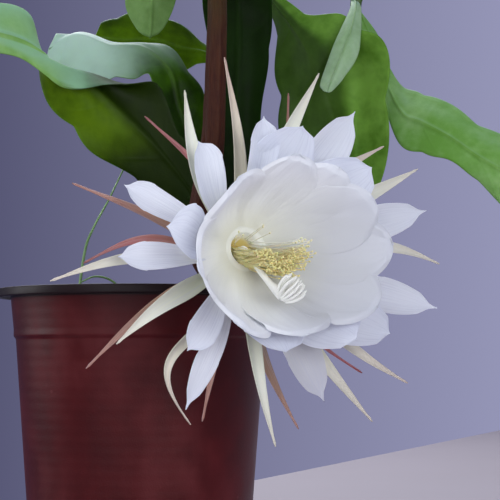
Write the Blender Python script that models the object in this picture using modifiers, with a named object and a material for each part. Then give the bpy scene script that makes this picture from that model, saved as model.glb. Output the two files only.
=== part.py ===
"""A potted epiphyllum in flower.

A maroon nursery pot of soil holds a round cane and three leafy stems. The flat, notched
leaves arch to both sides, and one of them carries a long tube that ends in a large white
night-blooming flower. Metres, +Z up, front towards -Y, origin under the middle of the pot.
"""
import math

import bmesh
import bpy
import numpy as np

MM = 0.001
GAP = 0.3 * MM

# The pot: height, the lip, and the outside radius at a few heights.
POT_HEIGHT = 187 * MM
LIP_RADIUS = 100 * MM
LIP_THICKNESS = 4 * MM
LIP_DROP = 6 * MM
COLLAR_HEIGHT = 33 * MM
COLLAR_TOP_RADIUS = 90.5 * MM
COLLAR_FOOT_RADIUS = 86.5 * MM
FOOT_RADIUS = 75 * MM
WALL = 3 * MM
FLOOR = 4 * MM
POT_STEPS = 36
DRAIN_RADIUS = 4.5 * MM
DRAIN_CIRCLE = 45 * MM
DRAIN_COUNT = 5
DRAIN_STEPS = 8

# The soil: its height at the wall and how much it is heaped in the middle.
SOIL_HEIGHT = 163 * MM
SOIL_HEAP = 5 * MM
SOIL_STEPS = 24

# The flower: the middle of its base, and how its mouth is turned right and lifted.
FLOWER_BASE = np.array([68, -150, 200]) * MM
FLOWER_TURN = math.radians(30)
FLOWER_LIFT = math.radians(3.5)

# Leaf and petal thicknesses.
LEAF_EDGE = 1.6 * MM
LEAF_RIB = 4.2 * MM
PETAL_THICKNESS = 0.8 * MM
TIP_WIDTH = 1.2 * MM

COLOURS = {
    "pot": ((0.085, 0.018, 0.016), 0.45),
    "soil": ((0.035, 0.022, 0.014), 0.95),
    "green": ((0.045, 0.105, 0.018), 0.42),
    "pale green": ((0.22, 0.36, 0.17), 0.45),
    "tube": ((0.16, 0.055, 0.04), 0.5),
    "white": ((0.83, 0.84, 0.86), 0.5),
    "cream": ((0.72, 0.68, 0.52), 0.5),
    "rose": ((0.42, 0.2, 0.17), 0.5),
    "stamen": ((0.74, 0.66, 0.3), 0.6),
}

# The cane's middle line, in millimetres: out of the soil, up behind the middle leaf, over and down.
CANE_ROUTE = [
    (50, 42, 108), (51, 42, 165), (58, 44, 210), (70, 46, 262), (76, 45, 310), (79, 42, 360),
    (81, 38, 410), (85, 36, 450), (98, 32, 481), (123, 27, 493), (147, 22, 477), (158, 19, 438),
    (154, 17, 405), (152, 17, 390),
]
CANE_RADIUS = 4.3 * MM

# Each leaf is a sheet drawn through stations from its foot to its tip. A station's points run
# across the leaf from one edge to the other, in millimetres.
LEAF_CENTRE = [
    [(63, 0, 180), (66, -2, 180), (70, 0, 180)],
    [(56, -2, 222), (68, -6, 222), (80, -2, 222)],
    [(51, -6, 271), (67, -10, 270), (84, -6, 271)],
    [(48, -10, 316), (67, -16, 315), (84, -10, 316)],
    [(45, -14, 354), (68, -18, 354), (93, -12, 356)],
    [(43, -18, 389), (68, -22, 388), (91, -16, 386)],
    [(46, -34, 413), (69, -38, 415), (90, -30, 413)],
    [(50, -75, 417), (69, -78, 419), (87, -72, 416)],
    [(56, -120, 404), (70, -124, 403), (81, -118, 402)],
    [(67, -152, 383), (70, -154, 382), (73, -152, 383)],
]
LEAF_LEFT_FRONT = [
    [(43, 4, 228), (44, 3, 230), (46, 2, 232), (47, 1, 234)],
    [(18, 2, 242), (30, 0, 253), (35, -1, 263), (41, -2, 274)],
    [(-15, -10, 269), (5, -8, 279), (16, -6, 292), (24, -8, 306)],
    [(-39, -20, 286), (-20, -18, 297), (-5, -12, 317), (8, -14, 333)],
    [(-56, -28, 304), (-38, -30, 315), (-29, -24, 333), (-20, -36, 326)],
    [(-68, -34, 328), (-56, -44, 330), (-51, -46, 337), (-50, -54, 320)],
    [(-73, -46, 372), (-75, -54, 357), (-76, -60, 346), (-78, -64, 339)],
    [(-107, -66, 376), (-106, -72, 361), (-105, -76, 350), (-104, -80, 341)],
    [(-126, -80, 358), (-128, -82, 354), (-127, -84, 349), (-125, -86, 345)],
]
LEAF_LEFT_REAR = [
    [(47, 32, 235), (48, 32, 236), (50, 32, 238)],
    [(28, 24, 275), (38, 30, 283), (48, 34, 291)],
    [(11, 16, 317), (25, 26, 320), (44, 32, 324)],
    [(3, 6, 340), (18, 22, 346), (35, 34, 345)],
    [(-7, -2, 336), (-2, 16, 361), (16, 32, 367)],
    [(-26, -10, 331), (-25, 4, 360), (-20, 24, 367)],
    [(-48, -14, 328), (-47, -4, 365), (-43, 14, 371)],
    [(-67, -18, 339), (-65, -12, 355), (-61, -4, 368)],
]
LEAF_RIGHT = [
    [(80, 38, 409), (81, 37, 411), (82, 37, 413), (83, 36, 415), (84, 36, 417)],
    [(93, 30, 386), (95, 28, 389), (98, 26, 392), (101, 24, 395), (104, 22, 397)],
    [(94, 26, 367), (101, 22, 371), (108, 18, 376), (114, 15, 381), (121, 12, 386)],
    [(94, 22, 340), (106, 20, 348), (119, 10, 356), (132, 4, 368), (143, 0, 383)],
    [(95, 18, 312), (110, 18, 322), (127, 6, 330), (148, 12, 351), (166, -4, 371)],
    [(102, 14, 281), (118, 16, 291), (136, 4, 302), (152, 16, 321), (176, -2, 341)],
    [(110, 14, 255), (123, 14, 259), (138, 6, 268), (153, 16, 281), (175, 0, 299)],
    [(120, 12, 236), (130, 12, 237), (141, 8, 241), (153, 12, 247), (168, 4, 257)],
    [(138, 12, 225), (141, 12, 223), (143, 12, 222), (146, 12, 223), (148, 12, 225)],
]
LEAF_YOUNG = [
    [(149, 16, 396), (151, 16, 396), (153, 16, 396)],
    [(147, 2, 387), (151, 1, 388), (155, 2, 387)],
    [(139, -8, 369), (146, -12, 368), (154, -8, 364)],
    [(131, -12, 348), (140, -17, 350), (150, -12, 348)],
    [(125, -14, 331), (133, -19, 333), (142, -14, 335)],
    [(127, -16, 325), (130, -17, 324), (133, -16, 325)],
]
LEAF_FAR_RIGHT = [
    [(151, 16, 395), (152, 17, 393), (153, 18, 391)],
    [(168, 34, 377), (165, 30, 366), (160, 28, 357)],
    [(178, 36, 355), (174, 28, 339), (171, 24, 326)],
    [(188, 30, 336), (186, 18, 314), (182, 12, 293)],
    [(201, 18, 332), (199, 6, 305), (197, -2, 281)],
    [(218, 6, 320), (216, -8, 293), (215, -12, 277)],
    [(236, -4, 307), (234, -20, 278), (234, -16, 260)],
    [(260, -16, 289), (257, -32, 262), (255, -28, 239)],
    [(280, -28, 263), (279, -38, 246), (276, -38, 232)],
    [(289, -44, 231), (290, -46, 228), (288, -46, 225)],
]
LEAF_BACK_LEFT = [
    [(77, 44, 347), (77, 44, 350), (77, 44, 353)],
    [(46, 62, 360), (45, 60, 367), (48, 62, 371)],
    [(24, 66, 354), (26, 58, 370), (28, 64, 387)],
    [(1, 62, 356), (3, 54, 376), (5, 60, 397)],
    [(-22, 54, 359), (-20, 46, 374), (-17, 52, 396)],
    [(-41, 42, 367), (-38, 38, 374), (-34, 42, 386)],
]
LEAF_TIP_LEFT = [
    [(85, 36, 446), (85, 36, 449), (85, 36, 452)],
    [(54, 20, 466), (55, 16, 471), (57, 20, 477)],
    [(26, -4, 444), (34, -10, 451), (40, -4, 460)],
    [(0, -18, 416), (14, -26, 416), (27, -18, 420)],
    [(-10, -26, 387), (9, -34, 388), (25, -26, 390)],
    [(-3, -30, 366), (8, -34, 364), (18, -30, 368)],
    [(5, -32, 361), (7, -33, 360), (10, -32, 361)],
]

# The round feet of the three leafy stems, from the soil up into each leaf's rib, in millimetres.
FOOT_CENTRE = [(64, -1, 108), (64, -1, 165), (66, -2, 182), (68, -6, 222), (67, -10, 262)]
FOOT_LEFT_FRONT = [(43, 4, 108), (43, 4, 170), (43, 4, 215), (44, 3, 233), (33, 0, 253)]
FOOT_LEFT_REAR = [(42, 26, 108), (42, 26, 165), (45, 29, 205), (48, 32, 237), (39, 30, 280)]
FOOT_RADIUS_LOW = 4.6 * MM
FOOT_RADIUS_TOP = 1.9 * MM

# The two thin shoots left of the flower, in millimetres.
SHOOT_TALL = [(-40, -52, 120), (-39, -51, 170), (-35, -46, 210), (-30, -36, 228), (-22, -18, 248),
              (-15, 6, 270), (-8, 14, 286)]
SHOOT_LOW = [(-2, -56, 125), (-4, -58, 165), (-9, -60, 183), (-16, -62, 191), (-26, -66, 193),
             (-35, -69, 189)]
SHOOT_RADIUS = 1.2 * MM

# The flower tube, in millimetres: from the leaf's edge down, then forward into the flower.
TUBE_ROUTE = [(52, -88, 411), (53, -92, 394), (55, -97, 370), (54, -98, 320), (52, -99, 275),
              (47, -103, 240), (45.5, -110, 216), (50, -120, 201), (56, -129.3, 198.5)]
TUBE_RADII = [3.4, 5.6, 6.0, 6.6, 7.4, 8.6, 9.6, 10.3, 10.7]
TUBE_END = -16 * MM
TUBE_END_RADIUS = 11 * MM
TUBE_SCALES = [(0.16, 100), (0.27, 20), (0.38, 150), (0.5, 60), (0.6, 190), (0.7, 110)]
SCALE_LENGTH = 9 * MM
SCALE_RADII = [1.6 * MM, 1.3 * MM, 0.5 * MM]
SCALE_LIFTS = [-1.2 * MM, 0.8 * MM, 2.3 * MM]

# The whorls' rings along the flower's axis: back and front height, and outer radius at each.
ROSE_RING = (-15.7 * MM, -8.3 * MM, 11 * MM, 13 * MM)
CREAM_RING = (-8 * MM, -1.3 * MM, 13 * MM, 15 * MM)
CUP_BACK = -1 * MM
CUP_FLOOR = 2 * MM
CUP_RIM = 11 * MM
CUP_BACK_RADIUS = 15 * MM
CUP_RIM_RADIUS = 20 * MM
THROAT_RADIUS = 11 * MM
THROAT_TAPER = 2 * MM
THROAT_SHIFT = np.array([1.5, 4.5, 0]) * MM
RING_STEPS = 16

# How the tepals of each whorl grow: root radius and height, lean from the axis at root and tip in
# degrees, the widest place, the width at the root, how full the tip is, and how deep they are cupped.
INNER = dict(root=(15, 8), lean=(62, 22), widest=0.62, foot=0.3, full=3.4, blunt=0.3, cup=0.18)
OUTER = dict(root=(16, 4), lean=(50, 88), widest=0.64, foot=0.3, full=2.6, blunt=0.14, cup=0.16)
CREAM = dict(root=(12, -4.5), lean=(68, 98), widest=0.4, foot=0.55, full=1.4, blunt=0, cup=0.2)
ROSE = dict(root=(10, -12), lean=(78, 94), widest=0.35, foot=0.55, full=1.3, blunt=0, cup=0.15)

# One row for each tepal: turn about the axis in degrees (0 right, 90 up), reach from the axis, height
# of the tip along it, width, sideways bow, and how late that bow comes, lengths in millimetres.
INNER_PETALS = [
    (191, 58, 60, 58, 0, 1), (136, 47.5, 66, 52, 0, 1), (82, 48, 68, 44, 0, 1), (52, 51, 64, 40, 0, 1),
    (27, 66, 62, 46, 0, 1), (2, 75, 59, 44, 0, 1), (331, 66, 59, 50, 0, 1), (284, 50, 57, 48, 0, 1),
    (238, 54, 60, 50, 0, 1),
]
OUTER_PETALS = [
    (272, 60, 50, 40, 0, 1), (314, 73, 50, 38, 0, 1), (330, 96, 38, 34, 0, 1), (347, 135, 22, 21, -3, 1),
    (14, 126, 28, 21, 0, 1), (37, 85, 48, 38, 0, 1), (52, 113, 30, 26, 0, 1), (73, 77, 44, 38, 0, 1),
    (87, 81, 30, 20, 0, 1), (120, 74, 24, 22, 5, 1), (171, 68, 40, 32, 0, 1), (154, 87, 10, 18, 0, 1),
    (183, 87, 18, 17, 0, 1), (231, 74, 22, 18, 0, 1), (246, 99, 6, 14, 0, 1), (299, 100, 16, 24, 0, 1),
]
CREAM_TEPALS = [
    (63, 132, 6, 12, 6, 1), (35, 129, 8, 9, 7, 1), (25, 142, 12, 13, 0, 1), (0, 147, 6, 11, 9, 1.5),
    (328, 144, 0, 9, -6, 1.3), (314, 139, -4, 10, -4, 1), (282, 116, -2, 9, -5, 1.2),
    (252, 104, -4, 8, -26, 2), (213, 96, 0, 11, -4, 1.3), (188, 120, -4, 8, -7, 1.2),
    (108, 105, 0, 12, 11, 1), (91, 124, -4, 8, -2, 1),
]
ROSE_TEPALS = [
    (66, 118, -12, 6, -12, 1), (321, 111, 2, 4, -5, 1.5), (295, 114, -14, 8, -6, 1),
    (259, 99, -14, 7, 0, 1), (215, 114, -14, 7, -6, 1), (183, 95, -12, 6, -13, 1.1),
    (157, 108, -16, 6, -2, 1), (121, 100, -16, 6, -13, 0.8),
]

# The stamens and the style with its stigma, lengths in millimetres along the flower's own axes.
FILAMENTS = 28
FILAMENT_TURNS = (math.radians(192), math.radians(390))
FILAMENT_ARC = np.array([11, 3, 35]) * MM
FILAMENT_REACH = np.array([14.5, 13, 0]) * MM
FILAMENT_SPREAD = np.array([0.14, 0.14, 0.1])
FILAMENT_BEND = 2.4 * MM
STYLE_OPENING = (math.radians(228), math.radians(258))
FILAMENT_RADIUS = 0.45 * MM
ANTHER_RADIUS = 1.1 * MM
SEAT_HEIGHT = 2 * MM
SEAT_EDGE = 3.2 * MM
SEAT_INSET = 2.2 * MM
STYLE_ROUTE = [(1.5, 4.5, 2.4), (1.5, 3.4, 8), (0.8, -6, 20), (2, -19.5, 35), (6, -27, 43)]
STYLE_RADIUS = 1.5 * MM
STIGMA_WAY = np.array([6, 8.5, 10])
STIGMA_LOBES = 14
STIGMA_LENGTH = 13.5 * MM
STIGMA_BASE = 3.6 * MM
STIGMA_SPREAD = 0.6
FINGER_RADII = [0.9 * MM, 0.85 * MM, 0.5 * MM]


def clear_scene():
    """Remove the objects that the file opened with."""
    for leftover in list(bpy.data.objects):
        bpy.data.objects.remove(leftover)


def new_collection(name):
    """A collection in the scene."""
    group = bpy.data.collections.new(name)
    bpy.context.scene.collection.children.link(group)
    return group


def material(name):
    """The plain material of one finish."""
    found = bpy.data.materials.get(name)
    if found:
        return found
    colour, roughness = COLOURS[name]
    made = bpy.data.materials.new(name)
    made.use_nodes = True
    shader = made.node_tree.nodes["Principled BSDF"]
    shader.inputs["Base Color"].default_value = (*colour, 1)
    shader.inputs["Roughness"].default_value = roughness
    shader.inputs["Metallic"].default_value = 0
    made.diffuse_color = (*colour, 1)
    return made


def place(name, mesh, group, finish):
    """An object of this mesh in a collection, shaded smooth with its corners kept."""
    made = bpy.data.objects.new(name, mesh)
    mesh.materials.clear()
    mesh.materials.append(material(finish))
    mesh.shade_smooth()
    mesh.set_sharp_from_angle(angle=math.radians(50))
    group.objects.link(made)
    return made


def settle(piece):
    """Apply a piece's modifiers."""
    shown = piece.evaluated_get(bpy.context.evaluated_depsgraph_get())
    mesh = bpy.data.meshes.new_from_object(shown)
    piece.modifiers.clear()
    piece.data = mesh
    return piece


def boolean(piece, other, operation, solver="EXACT"):
    """Join a collection to a piece, or cut an object from it, and apply it."""
    change = piece.modifiers.new(operation.title(), "BOOLEAN")
    change.operation = operation
    change.solver = solver
    if isinstance(other, bpy.types.Collection):
        change.operand_type = "COLLECTION"
        change.collection = other
    else:
        change.object = other
    return settle(piece)


def fuse(piece, others):
    """Join solids into the first one by one union, and remove them."""
    group = new_collection(piece.name + "_pieces")
    for other in others:
        for home in list(other.users_collection):
            home.objects.unlink(other)
        group.objects.link(other)
    boolean(piece, group, "UNION")
    for other in others:
        bpy.data.objects.remove(other)
    bpy.data.collections.remove(group)
    fill_hollows(piece)
    return piece


def fill_hollows(piece):
    """Keep a piece's outer skin alone, so that no sealed hollow is left inside."""
    form = bmesh.new()
    form.from_mesh(piece.data)
    unseen = set(form.verts)
    skins = []
    while unseen:
        skin = [unseen.pop()]
        for corner in skin:
            near = {edge.other_vert(corner) for edge in corner.link_edges} & unseen
            unseen -= near
            skin.extend(near)
        skins.append(skin)
    skins.sort(key=len)
    for skin in skins[:-1]:
        bmesh.ops.delete(form, geom=skin, context="VERTS")
    form.to_mesh(piece.data)
    form.free()


def through(values, at):
    """Read a smooth curve through the rows of values at the places at, from 0 to 1."""
    rows = np.asarray(values, float)
    last = len(rows) - 1
    rows = np.concatenate([2 * rows[:1] - rows[1:2], rows, 2 * rows[-1:] - rows[-2:-1]])
    where = np.asarray(at, float) * last
    cell = np.clip(where.astype(int), 0, last - 1)
    x = (where - cell).reshape(-1, *[1] * (rows.ndim - 1))
    a, b, c, d = (rows[cell + step] for step in range(4))
    return 0.5 * (2 * b + (c - a) * x + (2 * a - 5 * b + 4 * c - d) * x ** 2
                  + (3 * b - a - 3 * c + d) * x ** 3)


def turned(name, profile, steps, group, finish):
    """A solid turned about Z from a profile of (radius, height) that runs down its outer side."""
    mesh = bpy.data.meshes.new(name)
    points = [(radius, 0, height) for radius, height in profile]
    mesh.from_pydata(points, [(at, at + 1) for at in range(len(points) - 1)], [])
    piece = place(name, mesh, group, finish)
    screw = piece.modifiers.new("Turn", "SCREW")
    screw.steps = steps
    screw.render_steps = steps
    screw.use_merge_vertices = True
    screw.merge_threshold = 0.0001
    return settle(piece)


def tube(name, points, radii, group, finish, fineness=2):
    """A round rod along points, with a radius at each."""
    curve = bpy.data.curves.new(name, "CURVE")
    curve.dimensions = "3D"
    curve.bevel_depth = 1
    curve.bevel_resolution = fineness
    curve.use_fill_caps = True
    line = curve.splines.new("POLY")
    line.points.add(len(points) - 1)
    for spot, where, radius in zip(line.points, points, radii):
        spot.co = (*where, 1)
        spot.radius = radius
    guide = bpy.data.objects.new(name, curve)
    group.objects.link(guide)
    shown = guide.evaluated_get(bpy.context.evaluated_depsgraph_get())
    mesh = bpy.data.meshes.new_from_object(shown)
    bpy.data.objects.remove(guide)
    weld(mesh)
    return place(name, mesh, group, finish)


def weld(mesh):
    """Merge a curve's loose caps to its side."""
    form = bmesh.new()
    form.from_mesh(mesh)
    bmesh.ops.remove_doubles(form, verts=form.verts, dist=0.00001)
    bmesh.ops.recalc_face_normals(form, faces=form.faces)
    form.to_mesh(mesh)
    form.free()


def sheet(name, grid, group, finish):
    """An open sheet over a grid of points, split into triangles."""
    rows, columns = grid.shape[:2]
    mesh = bpy.data.meshes.new(name)
    corner = np.arange(rows * columns).reshape(rows, columns)
    a, b = corner[:-1, :-1].ravel(), corner[:-1, 1:].ravel()
    c, d = corner[1:, 1:].ravel(), corner[1:, :-1].ravel()
    faces = np.concatenate([np.stack([a, b, c], 1), np.stack([a, c, d], 1)])
    mesh.from_pydata(grid.reshape(-1, 3).tolist(), [], faces.tolist())
    return place(name, mesh, group, finish)


def thicken(piece, thickness, share=None):
    """Give a sheet its thickness, with a share of it at each point where that is given."""
    shell = piece.modifiers.new("Thickness", "SOLIDIFY")
    shell.thickness = thickness
    shell.offset = 0
    if share is not None:
        weights = piece.vertex_groups.new(name="Rib")
        for at, weight in enumerate(share):
            weights.add([at], float(weight), "REPLACE")
        shell.vertex_group = "Rib"
    return settle(piece)


def leaf_grid(stations, rows, columns, lobes, notch):
    """Points over a leaf: smooth both ways, with the edge drawn in at each notch."""
    along = np.linspace(0, 1, rows)
    across = np.linspace(0, 1, columns)
    lengthwise = through(np.array(stations) * MM, along)
    grid = through(lengthwise.transpose(1, 0, 2), across).transpose(1, 0, 2)
    middle = grid[:, columns // 2:columns // 2 + 1]
    wave = 1 - np.abs(np.sin(np.pi * lobes * along))
    drawn = notch * wave[:, None] * np.abs(2 * across - 1)[None] ** 2
    drawn[0] = 0
    drawn[-1] = 0
    return grid + (middle - grid) * drawn[..., None]


def leaf(name, stations, group, finish="green", rows=19, columns=5, lobes=4.5, notch=0.16, extra=0.0):
    """A flat leaf with a notched edge and a thicker rib along its middle."""
    blade = sheet(name, leaf_grid(stations, rows, columns, lobes, notch), group, finish)
    across = np.abs(np.linspace(-1, 1, columns))
    thickness = (LEAF_EDGE - LEAF_RIB) * across ** 0.7 + LEAF_RIB
    share = np.tile(thickness / LEAF_RIB, rows)
    return thicken(blade, LEAF_RIB + extra, share)


def foot(name, route, group):
    """The round foot of a leafy stem, thinning into the leaf's rib."""
    points = through(np.array(route) * MM, np.linspace(0, 1, 8))
    height = np.clip((points[:, 2] - SOIL_HEIGHT) / (points[-1, 2] - SOIL_HEIGHT), 0, 1)
    radii = FOOT_RADIUS_LOW + (FOOT_RADIUS_TOP - FOOT_RADIUS_LOW) * height
    return tube(name, points, radii, group, "green")


def pot_outline():
    """The pot's profile: from the middle of its floor up the inside, over the lip and down."""
    top = POT_HEIGHT
    under_lip = top - LIP_THICKNESS
    collar_foot = top - COLLAR_HEIGHT
    return [
        (0, FLOOR),
        (FOOT_RADIUS - WALL, FLOOR),
        (COLLAR_FOOT_RADIUS - WALL, collar_foot),
        (COLLAR_TOP_RADIUS - WALL, under_lip),
        (COLLAR_TOP_RADIUS - WALL + 1 * MM, top),
        (LIP_RADIUS - 1 * MM, top),
        (LIP_RADIUS, top - 1 * MM),
        (LIP_RADIUS, top - LIP_DROP),
        (LIP_RADIUS - 2 * MM, top - LIP_DROP),
        (LIP_RADIUS - 2.6 * MM, under_lip),
        (COLLAR_TOP_RADIUS, under_lip),
        (COLLAR_FOOT_RADIUS + 0.7 * MM, collar_foot),
        (COLLAR_FOOT_RADIUS, collar_foot - 1 * MM),
        (FOOT_RADIUS, 1.5 * MM),
        (FOOT_RADIUS - 1.5 * MM, 0),
        (0, 0),
    ]


def build_pot(parts, cutters):
    """The pot, with drain holes through its floor."""
    pot = turned("pot", pot_outline(), POT_STEPS, parts, "pot")
    for hole in range(DRAIN_COUNT):
        turn = 2 * math.pi * hole / DRAIN_COUNT
        spot = (DRAIN_CIRCLE * math.cos(turn), DRAIN_CIRCLE * math.sin(turn), FLOOR / 2)
        bpy.ops.mesh.primitive_cylinder_add(vertices=DRAIN_STEPS, radius=DRAIN_RADIUS, depth=3 * FLOOR,
                                            location=spot)
        drill = bpy.context.object
        cutters.objects.link(drill)
        boolean(pot, drill, "DIFFERENCE", "MANIFOLD")
        bpy.data.objects.remove(drill)
    return pot


def wall_radius(height):
    """The pot's inside radius at a height."""
    collar_foot = POT_HEIGHT - COLLAR_HEIGHT
    heights = [FLOOR, collar_foot, POT_HEIGHT - LIP_THICKNESS]
    radii = [FOOT_RADIUS - WALL, COLLAR_FOOT_RADIUS - WALL, COLLAR_TOP_RADIUS - WALL]
    return float(np.interp(height, heights, radii))


def build_soil(parts, cutters, routes):
    """The soil, heaped in the middle, with a hole for each stem."""
    bottom = FLOOR + GAP
    collar_foot = POT_HEIGHT - COLLAR_HEIGHT
    heap = [(share, SOIL_HEIGHT + SOIL_HEAP * (1 - share ** 2)) for share in (0, 0.3, 0.6, 0.85)]
    outline = [(share * wall_radius(SOIL_HEIGHT), height) for share, height in heap]
    for height in (SOIL_HEIGHT, collar_foot, bottom):
        outline.append((wall_radius(height) - 1.5 * GAP, height))
    outline.append((0, bottom))
    soil = turned("soil", outline, SOIL_STEPS, parts, "soil")
    for name, (route, radius) in routes.items():
        path = np.array(route[:3], float) * MM
        path[0, 2] -= 1.5 * MM
        points = through(path, np.linspace(0, 1, 7))
        drill = tube(name + "_hole", points, [radius + 3 * GAP] * len(points), cutters, "soil")
        boolean(soil, drill, "DIFFERENCE")
        bpy.data.objects.remove(drill)
    return soil


def flower_axes():
    """The flower's own directions as rows: right, up, and out of its mouth."""
    out = np.array([math.sin(FLOWER_TURN) * math.cos(FLOWER_LIFT),
                    -math.cos(FLOWER_TURN) * math.cos(FLOWER_LIFT), math.sin(FLOWER_LIFT)])
    right = np.array([math.cos(FLOWER_TURN), math.sin(FLOWER_TURN), 0])
    return np.stack([right, np.cross(out, right), out])


def in_flower(points):
    """Points given as right, up and out from the flower's base, placed in the world."""
    return FLOWER_BASE + np.asarray(points) @ flower_axes()


def tepal_grid(growth, turn, reach, rise, width, bow, late, rows, columns):
    """Points over a tepal.

    Its middle line is a cubic curve in the plane through the axis, from the root to the tip, moved
    sideways by its bow. Its width swells from the foot to its widest place and closes at the tip,
    and its edges are lifted towards the axis by the cup.
    """
    root = np.array(growth["root"]) * MM
    tip = np.array([reach, rise]) * MM
    lean = np.radians(growth["lean"])
    handle = 0.38 * np.linalg.norm(tip - root)
    ends = [root, root + handle * np.array([math.sin(lean[0]), math.cos(lean[0])]),
            tip - handle * np.array([math.sin(lean[1]), math.cos(lean[1])]), tip]
    u = 1 - (1 - np.linspace(0, 1, rows)) ** 1.5
    weights = np.stack([(1 - u) ** 3, 3 * u * (1 - u) ** 2, 3 * u ** 2 * (1 - u), u ** 3], 1)
    line = weights @ np.array(ends)
    slope = np.gradient(line, axis=0)
    slope /= np.linalg.norm(slope, axis=1, keepdims=True)
    swell = np.clip(u / growth["widest"], 0, 1)
    closing = np.clip((u - growth["widest"]) / (1 - growth["widest"]), 0, 1)
    full = growth["foot"] + (1 - growth["foot"]) * swell ** 2 * (3 - 2 * swell)
    blunt = max(growth["blunt"] * width * MM, TIP_WIDTH)
    half = 0.5 * np.maximum(width * MM * full * (1 - closing ** growth["full"]), blunt)
    v = np.linspace(-1, 1, columns)
    lift = growth["cup"] * half[:, None] * v[None] ** 2 * 2
    out = line[:, :1] - slope[:, 1:] * lift
    up = line[:, 1:] + slope[:, :1] * lift
    side = half[:, None] * v[None] + bow * MM * np.sin(np.pi * u ** late)[:, None]
    angle = math.radians(turn)
    right_part = out * math.cos(angle) - side * math.sin(angle)
    up_part = out * math.sin(angle) + side * math.cos(angle)
    return in_flower(np.stack([right_part, up_part, up], -1))


def tepals(name, growth, table, group, finish, rows, columns):
    """The tepals of one whorl, as loose solids."""
    made = []
    for row in table:
        grid = tepal_grid(growth, *row, rows, columns)
        made.append(thicken(sheet(name, grid, group, finish), PETAL_THICKNESS))
    return made


def lay_on_axis(piece, shift=(0, 0, 0)):
    """Move a solid turned about Z onto the flower's axis, or a shift away from it."""
    mesh = piece.data
    points = np.array([corner.co[:] for corner in mesh.vertices]) + shift
    mesh.vertices.foreach_set("co", in_flower(points).ravel())
    mesh.update()
    return piece


def ring(name, back, front, radii, group, finish):
    """A solid disc about the flower's axis, which tepals grow from."""
    outline = [(0, front), (radii[1], front), (radii[0], back), (0, back)]
    return lay_on_axis(turned(name, outline, RING_STEPS, group, finish))


def build_whorl(name, parts, finish, ring_sizes, growth, table):
    """A whorl of narrow tepals on its ring."""
    back, front, *radii = ring_sizes
    hub = ring(name, back, front, radii, parts, finish)
    return fuse(hub, tepals(name, growth, table, parts, finish, 8, 3))


def throat_cup(parts):
    """The cup that the petals grow from, its hollow moved a little off the flower's axis."""
    outline = [(0, CUP_FLOOR), (THROAT_RADIUS - THROAT_TAPER, CUP_FLOOR), (THROAT_RADIUS, CUP_RIM),
               (CUP_RIM_RADIUS, CUP_RIM), (CUP_BACK_RADIUS, CUP_BACK), (0, CUP_BACK)]
    cup = turned("flower_petals", outline, RING_STEPS, parts, "white")
    for corner in cup.data.vertices:
        if math.hypot(*corner.co[:2]) < THROAT_RADIUS + GAP and corner.co[2] > CUP_BACK + GAP:
            corner.co = np.array(corner.co[:]) + THROAT_SHIFT
    return lay_on_axis(cup)


def build_petals(parts):
    """The white petals, outer and inner, on the throat's cup."""
    cup = throat_cup(parts)
    outer = tepals("outer", OUTER, OUTER_PETALS, parts, "white", 6, 5)
    inner = tepals("inner", INNER, INNER_PETALS, parts, "white", 6, 5)
    return fuse(cup, outer + inner)


def build_tube(parts, keep_clear):
    """The flower tube with its scales, trimmed where it meets the leaf's edge."""
    at = np.linspace(0, 1, 15)
    ends = in_flower([(0, 0, TUBE_END - 4 * MM), (0, 0, TUBE_END)])
    points = np.concatenate([through(np.array(TUBE_ROUTE) * MM, at), ends])
    radii = through(np.array(TUBE_RADII)[:, None] * MM, at)[:, 0]
    radii = np.append(radii, [TUBE_END_RADIUS] * 2)
    stalk = tube("flower_tube", points, radii, parts, "tube", 3)
    scales = [tube_scale(points, radii, share, turn, parts) for share, turn in TUBE_SCALES]
    fuse(stalk, scales)
    boolean(stalk, keep_clear, "DIFFERENCE")
    return stalk


def tube_scale(points, radii, share, turn, parts):
    """One pointed scale that lies along the tube, its foot sunk into it."""
    where = through(points, [share])[0]
    ahead = through(points, [share + 0.02])[0] - where
    ahead /= np.linalg.norm(ahead)
    side = np.cross(ahead, [0, 1, 0])
    side /= np.linalg.norm(side)
    angle = math.radians(turn)
    out = math.cos(angle) * side + math.sin(angle) * np.cross(ahead, side)
    radius = float(np.interp(share, np.linspace(0, 1, len(radii)), radii))
    steps = np.linspace(0, SCALE_LENGTH, len(SCALE_LIFTS))
    line = [where + ahead * step + out * (radius + lift) for step, lift in zip(steps, SCALE_LIFTS)]
    return tube("scale", line, SCALE_RADII, parts, "tube", 0)


def build_stamens(parts):
    """A ring in the throat with a spray of filaments, each ending in an anther on an arc."""
    low = CUP_FLOOR + GAP
    high = low + SEAT_HEIGHT
    hole = STYLE_RADIUS + 3 * GAP
    edge = THROAT_RADIUS - SEAT_EDGE
    outline = [(hole, high), (edge, high), (edge, low), (hole, low), (hole, high)]
    seat = lay_on_axis(turned("flower_stamens", outline, RING_STEPS, parts, "stamen"), THROAT_SHIFT)
    made = []
    for number, turn in enumerate(np.linspace(*FILAMENT_TURNS, FILAMENTS)):
        if STYLE_OPENING[0] < turn < STYLE_OPENING[1]:
            continue
        way = np.array([math.cos(turn), math.sin(turn), 0])
        start = way * (edge - SEAT_INSET) + THROAT_SHIFT
        start[2] = low + 0.5 * SEAT_HEIGHT
        spread = 1 + FILAMENT_SPREAD * [math.sin(5.3 * number), math.sin(5.3 * number), math.sin(3.1 * number)]
        end = FILAMENT_ARC * [1, 1, spread[2]] + way * FILAMENT_REACH * spread
        middle = 0.5 * (start + end) - way * FILAMENT_BEND
        line = in_flower(through([start, middle, end], np.linspace(0, 1, 4)))
        line = np.concatenate([line, line[-1:] + (line[-1:] - line[-2:-1]) * 0.25])
        radii = [FILAMENT_RADIUS] * 3 + [ANTHER_RADIUS, 0.6 * ANTHER_RADIUS]
        made.append(tube("filament", line, radii, parts, "stamen", 0))
    return fuse(seat, made)


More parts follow.
